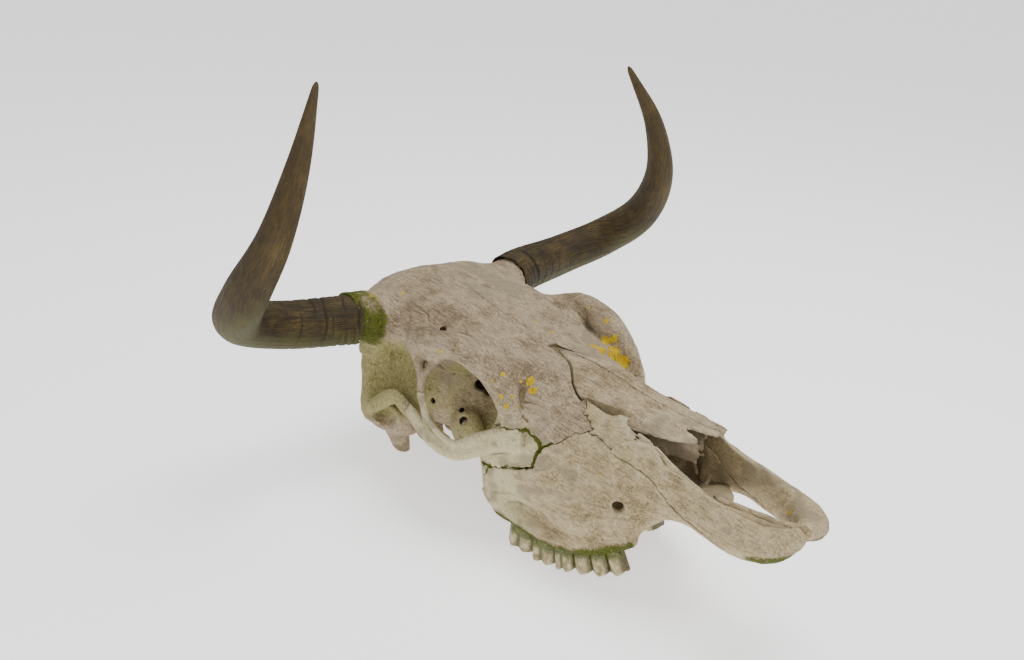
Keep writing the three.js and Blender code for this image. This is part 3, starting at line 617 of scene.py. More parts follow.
scroll_half = np.full(CELLS, FAR, np.float32)
add(scroll_half, of_skin(bar(TURBINATE)), 0.5)
skull = both_sides(half)
scrolls = both_sides(scroll_half)
nasals = both_sides(nasal_half)
FULL = skull.shape
X = (LOW[0] + VOXEL * np.arange(FULL[0], dtype=np.float32))[:, None, None]
Y = (VOXEL * (np.arange(FULL[1], dtype=np.float32) - CELLS[1] + 0.5))[None, :, None]
Z = (LOW[2] + VOXEL * np.arange(FULL[2], dtype=np.float32))[None, None, :]
FULL_LOW = np.array([X[0, 0, 0], Y[0, 0, 0], Z[0, 0, 0]])


def probe(block, points):
    """Values of a block at points, evened out between its cells."""
    at = np.clip((np.asarray(points) - FULL_LOW) / VOXEL, 0, np.array(FULL) - 1.001)
    i = at.astype(int)
    t = at - i
    value = np.zeros(len(at))
    for corner in np.ndindex(2, 2, 2):
        share = np.prod(np.where(corner, t, 1 - t), axis=1)
        value += share * block[i[:, 0] + corner[0], i[:, 1] + corner[1], i[:, 2] + corner[2]]
    return value


def on_surface(block, points):
    """The points moved onto the surface."""
    p = np.array(points, float)
    for _ in range(6):
        value = probe(block, p)
        slope = np.stack([probe(block, p + e) - probe(block, p - e) for e in np.eye(3) * VOXEL], -1)
        length = np.maximum(np.linalg.norm(slope, axis=1, keepdims=True), 1e-3)
        p -= np.clip(value, -4, 4)[:, None] * slope / length
    return p


def strand(points, step=0.6, wander=0.0, zigzag=0.0, seed=1):
    """Close points along a line through a few, straying a little as a crack does."""
    p = np.asarray(points, float)
    share = np.linspace(0, 1, 400)
    fine = along(p, share)
    run = np.concatenate([[0], np.cumsum(np.linalg.norm(np.diff(fine, axis=0), axis=1))])
    count = max(2, int(run[-1] / step))
    out = np.stack([np.interp(np.linspace(0, run[-1], count), run, fine[:, k]) for k in range(3)], -1)
    rng = np.random.default_rng(seed)
    for size, amount in ((9.0, wander), (2.6, zigzag)):
        knots = int(run[-1] / size) + 2
        stray = rng.uniform(-1, 1, (knots, 3))
        at = np.linspace(0, knots - 1, count)
        out += amount * np.stack([np.interp(at, np.arange(knots), stray[:, k]) for k in range(3)], -1)
    return out


def nearness(samples, reach):
    """Distance from the nearest of the samples, up to a reach, for the whole block."""
    block = np.full(FULL, reach, np.float32)
    flat = block.reshape(-1)
    at = (samples - FULL_LOW) / VOXEL
    base = np.round(at).astype(int)
    span = math.ceil(reach / VOXEL)
    for offset in np.ndindex(2 * span + 1, 2 * span + 1, 2 * span + 1):
        cell = base + np.array(offset) - span
        ok = np.all((cell >= 0) & (cell < FULL), axis=1)
        away = np.linalg.norm((cell[ok] - at[ok]) * VOXEL, axis=1).astype(np.float32)
        index = np.ravel_multi_index(cell[ok].T, FULL)
        np.minimum.at(flat, index, away)
    return block


# Fine lines of the bone on the right side, as points near the surface.
MIDLINE_SUTURE = [
    (20, 2, 240), (60, -3, 240), (108, -5, 226), (158, -7, 207), (196, -4, 191), (219, 0, 179),
]
NASION_CRACKS = [
    [(219, -1, 179), (223, 6, 179), (230, 11, 177), (240, 12, 175)], [(206, -3, 186), (214, -8, 182)],
]
FRONTAL_LACRIMAL = [(248, -66, 144), (256, -61, 142), (266, -56, 140), (277, -47, 142), (289, -38, 144)]
BROW_CRACKS = [
    [(146, -71, 206), (162, -65, 202), (176, -59, 197), (188, -56, 190)], [(120, -60, 216), (129, -63, 212)],
    [(196, -53, 187), (206, -50, 182), (216, -50, 176)], [(98, -66, 222), (112, -68, 217), (124, -72, 211)],
]
SOCKET_CRACK = [(160, -94, 173), (150, -76, 162), (136, -60, 155), (124, -50, 149)]
ARCH_CRACK = [(117, -106, 116), (125, -108, 117.5), (134, -109, 117), (145, -110, 115)]
LACRIMAL_SEAM = [(236, -88, 133), (246, -84, 134), (252, -76, 133), (255, -72, 128)]


def mirrored(points):
    return [(x, -y, z) for x, y, z in points]


def marks():
    """Lines engraved in the bone, by kind."""
    seams = [strand(MIDLINE_SUTURE, wander=1.2, zigzag=0.5, seed=11)]
    cracks = []
    for k, crack in enumerate(NASION_CRACKS + BROW_CRACKS + [SOCKET_CRACK, ARCH_CRACK]):
        cracks.append(strand(crack, wander=1.2, zigzag=0.6, seed=20 + k))
    for k, side in enumerate((lambda p: p, mirrored)):
        seams.append(strand(side(FRONTAL_LACRIMAL), wander=1.5, zigzag=1.4, seed=40 + k))
        seams.append(strand(side(LACRIMAL_SEAM), wander=1.0, zigzag=1.2, seed=44 + k))
    cracks.append(strand(mirrored(BROW_CRACKS[0]), wander=1.5, zigzag=0.6, seed=50))
    cracks.append(strand(mirrored(SOCKET_CRACK), wander=2.0, zigzag=0.6, seed=51))
    return (np.vstack([on_surface(skull, s) for s in lines]) for lines in (seams, cracks))


seam_points, crack_points = marks()
near_seam = nearness(seam_points, 6.0)
near_crack = nearness(crack_points, 3.6)


def step_between(value, low, high):
    t = np.clip((value - low) / (high - low), 0, 1)
    return t * t * (3 - 2 * t)


# The forehead rises to a low ridge along the midline, with a shallow trough on either side of it.
forehead = step_between(X, 40, 90) * step_between(-X, -225, -190) * step_between(Z, 165, 180)
skull -= forehead * (1.4 * np.exp(-((Y / 6.5) ** 2)) - 0.7 * np.exp(-(((np.abs(Y) - 17) / 7) ** 2)))

# A low swelling on either side of the closed sutures, then the lines themselves.
skull -= 0.35 * np.exp(-(((near_seam - 3.0) / 1.8) ** 2))
skull += 1.2 * np.exp(-((near_seam / 1.1) ** 2))
skull += 1.9 * np.exp(-((near_crack / 1.05) ** 2))


def ageing():
    """Relief of weathered bone: slow waves everywhere, coarser pitting where the bone is spongy."""
    waves = 0.55 * cloud(26, 1, FULL) + 0.35 * cloud(11, 2, FULL) + 0.16 * cloud(4.5, 3, FULL)
    collar = step_between(np.abs(Y), 82, 92) * step_between(-X, -96, -80) * step_between(Z, 172, 184)
    nose_end = step_between(X, 440, 470) * step_between(-Z, -72, -62)
    nape = step_between(-X, -14, 0) * step_between(Z, 180, 200)
    knob = step_between(-X, -40, -26) * step_between(-Z, -66, -54)
    spongy = np.maximum(np.maximum(collar, 0.8 * nose_end), np.maximum(0.5 * nape, 0.8 * knob))
    pits = cloud(3.1, 4, FULL)
    return waves + spongy * (1.1 * np.maximum(pits - 0.15, 0) + 0.5 * cloud(6, 5, FULL))


relief = ageing()
skull += relief
nasals += 0.5 * relief
# The scrolls are paper thin, holed, and broken off raggedly in front.
torn = step_between(X + 16 * (Y > 0), 384, 412)
scrolls += 0.7 * np.maximum(cloud(3.6, 9, FULL), 0) + torn * (1.6 + 2.4 * cloud(6, 10, FULL))


def row_share(k):
    """Share of the tooth row at the middle of a tooth, counted from the front."""
    lengths = [length for length, _, _ in TEETH]
    return (sum(lengths[:k]) + lengths[k] / 2) / sum(lengths)


# Open sockets of the teeth that have fallen out.
for k in range(LOST_ON_THE_LEFT):
    share = row_share(k)
    x, y = (a + share * (b - a) for a, b in zip(TOOTH_ROW["front"], TOOTH_ROW["back"]))
    length, width, _ = TEETH[k]
    ahead, beside, up = (X - x) / (0.42 * length), (Y - y - 2) / (0.4 * width), (Z - 10) / 17
    np.maximum(skull, (1 - np.sqrt(ahead**2 + beside**2 + up**2)) * 0.4 * width, out=skull)

# Nothing reaches past the solids: the knobs and the rest of the skull end on the plane they lie on.
TIP = math.radians(NOSE_UP)
height = X * math.sin(TIP) + Z * math.cos(TIP) - FLOOR_BELOW
ahead = X * math.cos(TIP) - Z * math.sin(TIP) - BOX_CENTRE_X
ABOVE_FLOOR = 0.5
SHORT_OF_ENDS = 0.4
too_far = np.maximum(ahead - 1000 * cad_high[0], 1000 * cad_low[0] - ahead) + SHORT_OF_ENDS
skull = np.maximum(np.maximum(skull, ABOVE_FLOOR - height), too_far)

for side, sign in (("left", 1), ("right", -1)):
    beyond = sign * Y - CORE_END[side] + 0 * Z
    at_horn = (X < 100) & (Z > 172) & (sign * Y > 60)
    np.copyto(skull, np.maximum(skull, beyond), where=at_horn)

# Room for the nasal bones, with the open cracks beside them.
NASAL_GAP = 0.7  # millimetres
bed = np.minimum(nasals, np.concatenate([nasals[:, :, -5:] * 0 + FAR, nasals[:, :, :-5]], axis=2))
without_nasals = np.maximum(skull, NASAL_GAP - bed)


# ---- parting into bones --------------------------------------------------------------------------
# Half of the gap at a suture and at the midline, in millimetres.
SUTURE = 0.14
MIDLINE_HALF_GAP = 0.3
zigzag = (2.0 * cloud(5.2, 7, FULL) + 1.7 * cloud(2.7, 8, FULL)).astype(np.float32)


def side_region(outline):
    return outline_distance(outline, X[:, 0], Z[:, 0])[:, None, :].astype(np.float32)


jaw_region = side_region(UPPER_JAW_OUTLINE) + zigzag
incisive_region = side_region(INCISIVE_OUTLINE) + 0.5 * zigzag
cheek_region = np.maximum(side_region(CHEEK_OUTLINE) + 0.7 * zigzag, CHEEK_FROM - np.abs(Y))

cheekless = np.maximum(without_nasals, SUTURE - cheek_region)
jaw = np.maximum(cheekless, jaw_region + SUTURE)
cranium = np.minimum(np.maximum(cheekless, SUTURE - jaw_region), scrolls)
bones = {"cranium": (cranium, "frontal_bone")}
for side, sign in (("left", 1), ("right", -1)):
    apart = MIDLINE_HALF_GAP - sign * Y
    cheek = np.maximum(without_nasals, cheek_region + SUTURE)
    bones["zygomatic_" + side] = (np.maximum(cheek, apart), "cheek_bone")
    bones["maxilla_" + side] = (np.maximum(np.maximum(jaw, SUTURE - incisive_region), apart), "jaw_bone")
    bones["incisive_" + side] = (np.maximum(np.maximum(jaw, incisive_region + SUTURE), apart), "jaw_bone")
    bones["nasal_" + side] = (np.maximum(nasals, apart + 0.5 * zigzag * 0.4), "nasal_bone")


# ---- from block to mesh --------------------------------------------------------------------------
def to_frame(points):
    """Skull frame in millimetres to the part's frame in metres."""
    x, y, z = np.asarray(points, float).T
    forward = x * math.cos(TIP) - z * math.sin(TIP) - BOX_CENTRE_X
    upward = x * math.sin(TIP) + z * math.cos(TIP) - FLOOR_BELOW
    return np.stack([forward, y, upward], -1) / 1000


def surface(block):
    """Points and four-sided faces of the largest body in a block."""
    inside = block < VOXEL
    first, last = [], []
    for axis in range(3):
        used = np.flatnonzero(inside.any(axis=tuple(k for k in range(3) if k != axis)))
        first.append(max(0, used[0] - 2))
        last.append(used[-1] + 3)
    part = block[tuple(slice(a, b) for a, b in zip(first, last))]
    part = np.pad(np.clip(part, -FAR, FAR), 1, constant_values=FAR).astype(np.float32)
    grid = openvdb.FloatGrid(FAR)
    grid.copyFromArray(np.ascontiguousarray(part))
    points, quads = grid.convertToQuads()
    points = FULL_LOW + VOXEL * (points + np.array(first) - 1)
    label = np.arange(len(points))
    while True:
        lower = label.copy()
        np.minimum.at(lower, quads.ravel(), np.repeat(label[quads].min(1), 4))
        lower = lower[lower]
        if np.array_equal(lower, label):
            break
        label = lower
    kinds, counts = np.unique(label[quads[:, 0]], return_counts=True)
    quads = quads[label[quads[:, 0]] == kinds[counts.argmax()]]
    used, quads = np.unique(quads, return_inverse=True)
    points, quads = points[used], quads.reshape(-1, 4)
    a, b, c, d = (points[quads[:, k]] for k in range(4))
    volume = np.einsum("ij,ij->i", a, np.cross(b, c)).sum() + np.einsum("ij,ij->i", a, np.cross(c, d)).sum()
    return points, quads if volume > 0 else quads[:, ::-1]


def put_mesh(name, points, faces, values, material, nodes):
    """Object from points in the part's frame, carrying named values for its points."""
    mesh = bpy.data.meshes.new(name)
    mesh.from_pydata([], [], [])
    mesh.vertices.add(len(points))
    mesh.vertices.foreach_set("co", np.asarray(points, np.float32).ravel())
    sizes = np.array([len(f) for f in faces])
    flat = np.concatenate(faces) if isinstance(faces, list) else faces.ravel()
    mesh.loops.add(len(flat))
    mesh.loops.foreach_set("vertex_index", flat.astype(np.int32))
    mesh.polygons.add(len(sizes))
    mesh.polygons.foreach_set("loop_start", np.concatenate([[0], np.cumsum(sizes)[:-1]]).astype(np.int32))
    mesh.polygons.foreach_set("use_smooth", np.ones(len(sizes), bool))
    for key, value in values.items():
        kind = "FLOAT" if np.ndim(value) == 1 else "FLOAT_VECTOR"
        layer = mesh.attributes.new(key, kind, "POINT")
        flat_value = np.asarray(value, np.float32).ravel()
        layer.data.foreach_set("value" if kind == "FLOAT" else "vector", flat_value)
    mesh.update(calc_edges=True)
    mesh.validate()
    piece = bpy.data.objects.new(name, mesh)
    bpy.context.scene.collection.objects.link(piece)
    mesh.materials.append(material)
    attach(piece, "root")
    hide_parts(*nodes)


# ---- what grows and gathers on the bone ----------------------------------------------------------
def evened(block, cells):
    """The block with each cell the mean of its neighbours up to this many cells away."""
    for axis in range(3):
        wide = [(0, 0)] * 3
        wide[axis] = (cells + 1, cells)
        total = np.cumsum(np.pad(block, wide, mode="edge"), axis=axis, dtype=np.float32)
        ahead, behind = [slice(None)] * 3, [slice(None)] * 3
        ahead[axis], behind[axis] = slice(2 * cells + 1, None), slice(None, -2 * cells - 1)
        block = (total[tuple(ahead)] - total[tuple(behind)]) / (2 * cells + 1)
    return block


def closeness(points, samples, reach):
    """1 at the samples, falling to 0 at a distance from them."""
    samples = np.asarray(samples, float)
    out = np.zeros(len(points))
    low, high = samples[:, :3].min(0) - reach, samples[:, :3].max(0) + reach
    near = np.flatnonzero(np.all((points > low) & (points < high), axis=1))
    for part in np.array_split(near, max(1, len(near) // 20000)):
        away = np.linalg.norm(points[part][:, None] - samples[None, :, :3], axis=2)
        out[part] = np.clip(1 - away.min(1) / reach, 0, 1)
    return out


# Crusts of lichen: place and size. The far brow carries the largest patch.
LICHEN = [
    (240, -50, 158, 6), (249, -54, 152, 5), (242, -82, 173, 3.5), (244, -89, 155, 3), (251, -82, 154, 2.6),
    (233, -87, 146, 3), (248, -87, 146, 3), (195, -95, 196, 3.5), (177, -99, 192, 3), (167, -61, 199, 2.6),
    (62, -94, 233, 3), (71, -63, 230, 2.6), (203, 15, 187, 3.2), (170, -2, 202, 2.2), (303, -66, 97, 3.2),
    (286, -68, 104, 2.4), (326, -62, 88, 2.6), (321, -66, 80, 2.6), (466, 22, 62, 3), (228, 66, 168, 9),
    (240, 60, 160, 9), (246, 66, 150, 9), (256, 58, 146, 7), (224, 72, 186, 6), (203, 76, 195, 5),
    (233, 72, 179, 5), (236, 68, 172, 6), (235, 40, 171, 5), (240, 46, 167, 6), (216, 84, 188, 5),
    (246, 76, 140, 5), (236, 80, 160, 5), (210, 60, 190, 3), (196, -93, 189, 2.5), (150, 50, 210, 2.4),
    (120, -30, 226, 2.2), (292, 52, 118, 3), (180, 20, 199, 2),
]


def lichen_value(points):
    """1 inside a crust, falling to 0 around it; each crust has a few small ones scattered about it."""
    rng = np.random.default_rng(90)
    spots = [(x, y, z, 0.8 * size) for x, y, z, size in LICHEN]
    for x, y, z, size in LICHEN:
        for _ in range(4):
            dx, dy, dz = rng.uniform(-1, 1, 3) * (size + 5)
            spots.append((x + dx, y + dy, z + dz, rng.uniform(0.7, 1.7)))
    value = np.zeros(len(points))
    for x, y, z, size in spots:
        near = np.flatnonzero(np.abs(points - (x, y, z)).max(1) < 1.6 * size)
        away = np.linalg.norm(points[near] - (x, y, z), axis=1)
        value[near] = np.maximum(value[near], np.clip(1.6 - away / size, 0, 1))
    return value


def gum_line(side):
    x0, y0 = TOOTH_ROW["front"]
    x1, y1 = TOOTH_ROW["back"]
    share = np.linspace(-0.04, 1.04, 60)
    sag = -TOOTH_ROW["sag"] * 4 * share * (1 - share)
    width = 9 + 3 * share
    y = y0 + share * (y1 - y0) + width
    return np.stack([x0 + share * (x1 - x0), side * y, 24 + sag], -1)


# How much bone closes round each spot, near and far: low on edges, where the bone is bleached, and high in
# hollows and recesses, where dirt and painted shade darken it.
occupied = np.clip(0.5 - np.minimum(skull, nasals) / VOXEL, 0, 1).astype(np.float32)
hollow_block = evened(occupied, 2)
recess_block = evened(occupied, 9)
suture_block = np.minimum(np.abs(jaw_region), np.abs(np.maximum(cheek_region, -20)))
broad_block = cloud(44, 21, FULL)
blotch_block = 0.6 * cloud(13, 22, FULL) + 0.4 * cloud(5.5, 23, FULL)
GUM_LINES = np.vstack([gum_line(1), gum_line(-1)])
# Middle line of the painted shade deep in each eye socket, under the brow.
SOCKET_SHADE_LINE = np.array(RECESS + mirrored(RECESS))
# Middles of the parts that the rain keeps palest: the cheek, the lower rim of the eye socket, and the
# tuber behind the teeth.
WASHED = [(150, 106, 112), (176, 106, 102), (206, 98, 102), (236, 86, 110), (218, 84, 78), (222, 80, 48)]
PALE = np.array(WASHED + mirrored(WASHED))


def bone_values(points):
    """What the surface of the bone carries at these points, and where shade is painted on it: shares from 0 to
    1.
    """
    x, y, z = points.T
    side = np.abs(y)
    broad = probe(broad_block, points)
    blotch = probe(blotch_block, points)
    streak = probe(blotch_block, points * (0.25, 1, 1) + (90, 0, 0))
    hollow = probe(hollow_block, points)
    recess = probe(recess_block, points)
    temple = step_between(side, 46, 62) * step_between(-x, -134, -104) * step_between(z, 92, 116)
    temple *= step_between(-z, -196, -176)
    out = unit(np.array(ORBIT["out"]))
    local = np.stack([x, side, z], -1) - np.array(ORBIT["centre"])
    depth = local @ out
    across = np.linalg.norm(local - depth[:, None] * out, axis=1)
    socket = step_between(-across, -46, -38) * step_between(-depth, -2, 8)
    collar = step_between(side, 84, 94) * step_between(-x, -98, -80) * step_between(z, 172, 184)
    collar *= np.where(y < 0, 1.0, 0.45)
    lower_face = step_between(-z, -60, -20) * step_between(x, 190, 210)
    nose_end = step_between(x, 452, 478) * step_between(-z, -58, -48)
    seam = np.clip(1 - probe(near_seam, points) / 2.6, 0, 1)
    suture = np.clip(1 - probe(suture_block, points) / 2.4, 0, 1)
    patchy = step_between(blotch + 0.5 * broad, -0.1, 0.5)
    painted_socket_shade = closeness(points, SOCKET_SHADE_LINE, 26)
    scroll = (side < 20) * step_between(x, 292, 312)
    scroll = scroll * step_between(-z, -127, -121) * step_between(z, 82, 90)
    scroll_end = scroll * step_between(x, 388, 412)
    green = temple + 0.9 * socket + 0.8 * collar + 0.25 * lower_face
    mossy = [
        1.2 * closeness(points, GUM_LINES, 13) * (0.8 + 0.4 * blotch),
        0.6 * nose_end,
        0.95 * suture * patchy,
        0.6 * seam * patchy,
        0.66 * collar * (0.85 + 0.5 * blotch),
        0.6 * temple * step_between(blotch - broad, 0.1, 0.6),
    ]
    return {
        "tone": 0.3 + 0.13 * broad + 0.15 * blotch + 0.16 * streak,
        "pale": closeness(points, PALE, 46) ** 0.6,
        "bleach": step_between(-hollow, -0.47, -0.34) * (0.7 + 0.3 * blotch),
        "stain": step_between(0.6 * streak + 0.5 * blotch + 0.5 * broad, -0.15, 0.6),
        # Dirt and painted shade: darker the more the bone closes round a spot, and on the scroll inside the
        # nose, most at its torn front end.
        "grime_and_hollow_shade": np.clip(step_between(hollow, 0.53, 0.66) + 0.7 * step_between(recess, 0.54, 0.76), 0, 1)
        * (0.85 + 0.4 * blotch) + 0.3 * scroll + 0.5 * scroll_end,
        "algae": np.clip(green * (0.85 + 0.5 * broad + 0.3 * blotch), 0, 1),
        # Painted shade, dark green-black, deep in the eye sockets.
        "painted_socket_shade": np.clip(1.5 * painted_socket_shade, 0, 1) * step_between(recess, 0.5, 0.66),
        "moss": np.clip(np.maximum.reduce(mossy), 0, 1),
        "crack": np.maximum(np.clip(1 - probe(near_crack, points) / 1.7, 0, 1), 0.55 * seam),
        "lichen": lichen_value(points),
    }


# ---- materials -----------------------------------------------------------------------------------
def linear(code):
    """sRGB hex colour as linear red, green, blue and alpha."""
    parts = [((code >> shift) & 255) / 255 for shift in (16, 8, 0)]
    return [p / 12.92 if p <= 0.04045 else ((p + 0.055) / 1.055) ** 2.4 for p in parts] + [1.0]


def add_node(tree, kind, inputs, output=0, stops=(), **settings):
    """Adds a node with values or other nodes' outputs on its inputs, and gives back one of its outputs."""
    made = tree.nodes.new("ShaderNode" + kind)
    for key, value in settings.items():
        setattr(made, key, value)
    for key, value in inputs.items():
        if isinstance(value, bpy.types.NodeSocket):
            tree.links.new(value, made.inputs[key])
        else:
            made.inputs[key].default_value = value
    for k, (at, code) in enumerate(stops):  # a ramp's ends come first, then the colours between
        points = made.color_ramp.elements
        point = points[k] if k < 2 else points.new(at)
        point.position = at
        point.color = linear(code)
    return made.outputs[output] if output is not None else made


def new_material(name):
    """An empty material, and its tree of nodes."""
    material = bpy.data.materials.new(name)
    material.use_nodes = True
    material.node_tree.nodes.clear()
    return material, material.node_tree


def frayed_share(tree, key, texture, fray, begins, whole, most, **settings):
    """A carried value, and the share that it covers once a texture has frayed it."""
    carried = add_node(tree, "Attribute", {}, "Fac", attribute_name=key)
    frayed = add_node(tree, "Math", {0: texture, 1: fray, 2: carried}, operation="MULTIPLY_ADD")
    limits = {"Value": frayed, "From Min": begins, "From Max": whole, "To Max": most}
    return carried, add_node(tree, "MapRange", limits, **settings)


def finish_surface(tree, colour, height, strength, depth, grain, smoothest, roughest, ior, gloss):
    """The shader and output, with a height in relief and a grain that sets how rough it is."""
    bump = add_node(tree, "Bump", {"Strength": strength, "Distance": depth, "Height": height})
    rough = add_node(tree, "MapRange", {"Value": grain, "To Min": smoothest, "To Max": roughest})
    values = {"Base Color": colour, "Roughness": rough, "Normal": bump}
    shader = add_node(tree, "BsdfPrincipled", {**values, "IOR": ior, "Specular IOR Level": gloss})
    add_node(tree, "OutputMaterial", {0: shader}, None)


# What lies over the bone, from the wear of it to the lichen on it, with the painted shade in its hollows and
# eye sockets: the carried value, how much the fine texture frays it, the sum at which it begins and is whole,
# its greatest share, the height it adds in millimetres, and its two colours.
BONE_LAYERS = [
    ("pale", 0.7, 0.55, 1.2, 0.8, 0.0, (0xA79C72, 0xD3C9A3)),
    ("bleach", 0.5, 0.45, 1.2, 0.5, 0.0, (0xC4B694, 0xDCD2B8)),
    ("stain", 1.1, 0.85, 1.45, 0.6, 0.0, (0x5E5242, 0x84765F)),
    ("grime_and_hollow_shade", 0.7, 0.5, 1.2, 0.8, 0.0, (0x3E3322, 0x6E5F42)),
    # dirt and painted shade in hollows and recesses
    ("algae", 1.2, 0.7, 1.7, 0.78, 0.05, (0x5C5A20, 0xABA368)),
    # painted shade deep in the eye sockets
    ("painted_socket_shade", 0.5, 0.4, 0.95, 0.96, 0.0, (0x0F1108, 0x2E3216)),
    ("moss", 1.0, 0.86, 1.08, 1.0, 0.5, (0x141804, 0x5E6412)),
    ("crack", 0.3, 0.5, 1.0, 0.9, 0.0, (0x18120C, 0x352A1E)),
    ("lichen", 1.0, 1.0, 1.14, 1.0, 0.5, (0x8C7408, 0xD6B424)),
]


def weathered_bone(name, dark, middle, light):
    """Bone left outdoors: chalky and dry, bleached on its edges, dark with dirt and painted shade in its
    hollows, green with algae and moss, and painted shade deep in the eye sockets.
    """
    material, tree = new_material(name)
    place = add_node(tree, "TexCoord", {}, "Object")
    mm = add_node(tree, "VectorMath", {0: place, "Scale": 1000.0}, operation="SCALE")
    # Fibres of the bone, a millimetre or two apart, run from the poll to the nose.
    lengthwise = add_node(tree, "Mapping", {"Vector": mm, "Scale": (0.16, 1.0, 1.0)})
    fibre = add_node(
        tree, "TexNoise", {"Vector": lengthwise, "Scale": 1 / 2.0, "Detail": 5.0, "Roughness": 0.7}
    )
    # Sandy grain of half a millimetre makes the surface chalky; it is drawn at 1.6 mm so that it shows.
    sand = add_node(tree, "TexNoise", {"Vector": mm, "Scale": 1 / 1.6, "Detail": 4.0, "Roughness": 0.75})
    # Lumps of some two millimetres fray the margins of stains, moss and lichen.
    crumbs = add_node(
        tree, "TexNoise",
        {"Vector": mm, "Scale": 1 / 2.2, "Detail": 5.0, "Roughness": 0.72, "Distortion": 0.5},
    )
    tone = add_node(tree, "Attribute", {}, "Fac", attribute_name="tone")
    for grain, strength in ((fibre, 0.9), (sand, 0.9), (crumbs, 0.6)):
        about_zero = add_node(tree, "Math", {0: grain, 1: 0.5}, operation="SUBTRACT")
        tone = add_node(tree, "Math", {0: about_zero, 1: strength, 2: tone}, operation="MULTIPLY_ADD")
    colour = add_node(tree, "ValToRGB", {0: tone}, stops=[(0.06, dark), (0.56, light), (0.3, middle)])
    # Dark specks of soil lodged in the pores.
    specks = add_node(tree, "MapRange", {"Value": sand, "From Min": 0.6, "From Max": 0.7, "To Max": 0.6})
    colour = add_node(tree, "Mix", {0: specks, 6: colour, 7: linear(0x54483A)}, 2, data_type="RGBA")
    height = add_node(tree, "Math", {0: fibre, 1: 0.7, 2: 0.0}, operation="MULTIPLY_ADD")
    height = add_node(tree, "Math", {0: sand, 1: 0.5, 2: height}, operation="MULTIPLY_ADD")
    for key, fray, begins, whole, most, thick, colours in BONE_LAYERS:
        carried, share = frayed_share(
            tree, key, crumbs, fray, begins, whole, most, interpolation_type="SMOOTHSTEP"
        )
        # Nothing shows where none is carried, however coarse the texture.
        present = add_node(tree, "MapRange", {"Value": carried, "From Min": 0.02, "From Max": 0.2})
        share = add_node(tree, "Math", {0: share, 1: present}, operation="MULTIPLY")
        over = add_node(tree, "ValToRGB", {0: crumbs}, stops=[(0.34, colours[0]), (0.62, colours[1])])
        colour = add_node(tree, "Mix", {0: share, 6: colour, 7: over}, 2, data_type="RGBA")
        height = add_node(tree, "Math", {0: share, 1: thick, 2: height}, operation="MULTIPLY_ADD")
    # Pores of about half a millimetre, 1.4 mm apart.
    pores = add_node(tree, "TexVoronoi", {"Vector": mm, "Scale": 1 / 1.4}, "Distance")
    pores = add_node(tree, "MapRange", {"Value": pores, "From Max": 0.4, "To Max": 0.14})
    height = add_node(tree, "Math", {0: height, 1: pores}, operation="ADD")
    height = add_node(tree, "Math", {0: crumbs, 1: 0.4, 2: height}, operation="MULTIPLY_ADD")
    finish_surface(tree, colour, height, 0.85, 0.0011, sand, 0.75, 1.0, 1.5, 0.3)
    return material


def tooth_enamel(name):
    """Enamel and root cement of old teeth: ivory, lightly glossy, brown and mossy at the jaw."""
    material, tree = new_material(name)
    place = add_node(tree, "TexCoord", {}, "Object")
    mm = add_node(tree, "VectorMath", {0: place, "Scale": 1000.0}, operation="SCALE")
    # Fine upright lines of the cement, a millimetre apart.
    upright = add_node(tree, "Mapping", {"Vector": mm, "Scale": (1.0, 1.0, 0.12)})
    lines = add_node(tree, "TexNoise", {"Vector": upright, "Scale": 1 / 1.2, "Detail": 4.0, "Roughness": 0.6})
    blotch = add_node(tree, "TexNoise", {"Vector": mm, "Scale": 1 / 6.0, "Detail": 5.0, "Roughness": 0.6})
    crumbs = add_node(tree, "TexNoise", {"Vector": mm, "Scale": 1 / 2.2, "Detail": 4.0, "Roughness": 0.7})
    ivories = [(0.34, 0x7D6F42), (0.66, 0xD3C8A4), (0.5, 0xAB9D70)]
    colour = add_node(tree, "ValToRGB", {0: blotch}, stops=ivories)
    height = add_node(tree, "Math", {0: lines, 1: 0.5, 2: blotch}, operation="MULTIPLY_ADD")
    brown = add_node(tree, "ValToRGB", {0: crumbs}, stops=[(0.35, 0x2C2610), (0.62, 0x6E6236)])
    green = add_node(tree, "ValToRGB", {0: crumbs}, stops=[(0.35, 0x181C05), (0.6, 0x666A1C)])
    # Brown stain in the grooves between the lobes, and moss where the root leaves its socket.
    for key, fray, begins, whole, most, over in (
        ("groove", 0.6, 0.5, 1.0, 0.9, brown),
        ("root", 1.0, 0.8, 1.15, 1.0, green),
    ):
        _, share = frayed_share(tree, key, crumbs, fray, begins, whole, most)
        colour = add_node(tree, "Mix", {0: share, 6: colour, 7: over}, 2, data_type="RGBA")
    finish_surface(tree, colour, height, 0.5, 0.0006, blotch, 0.3, 0.75, 1.6, 0.45)
    return material


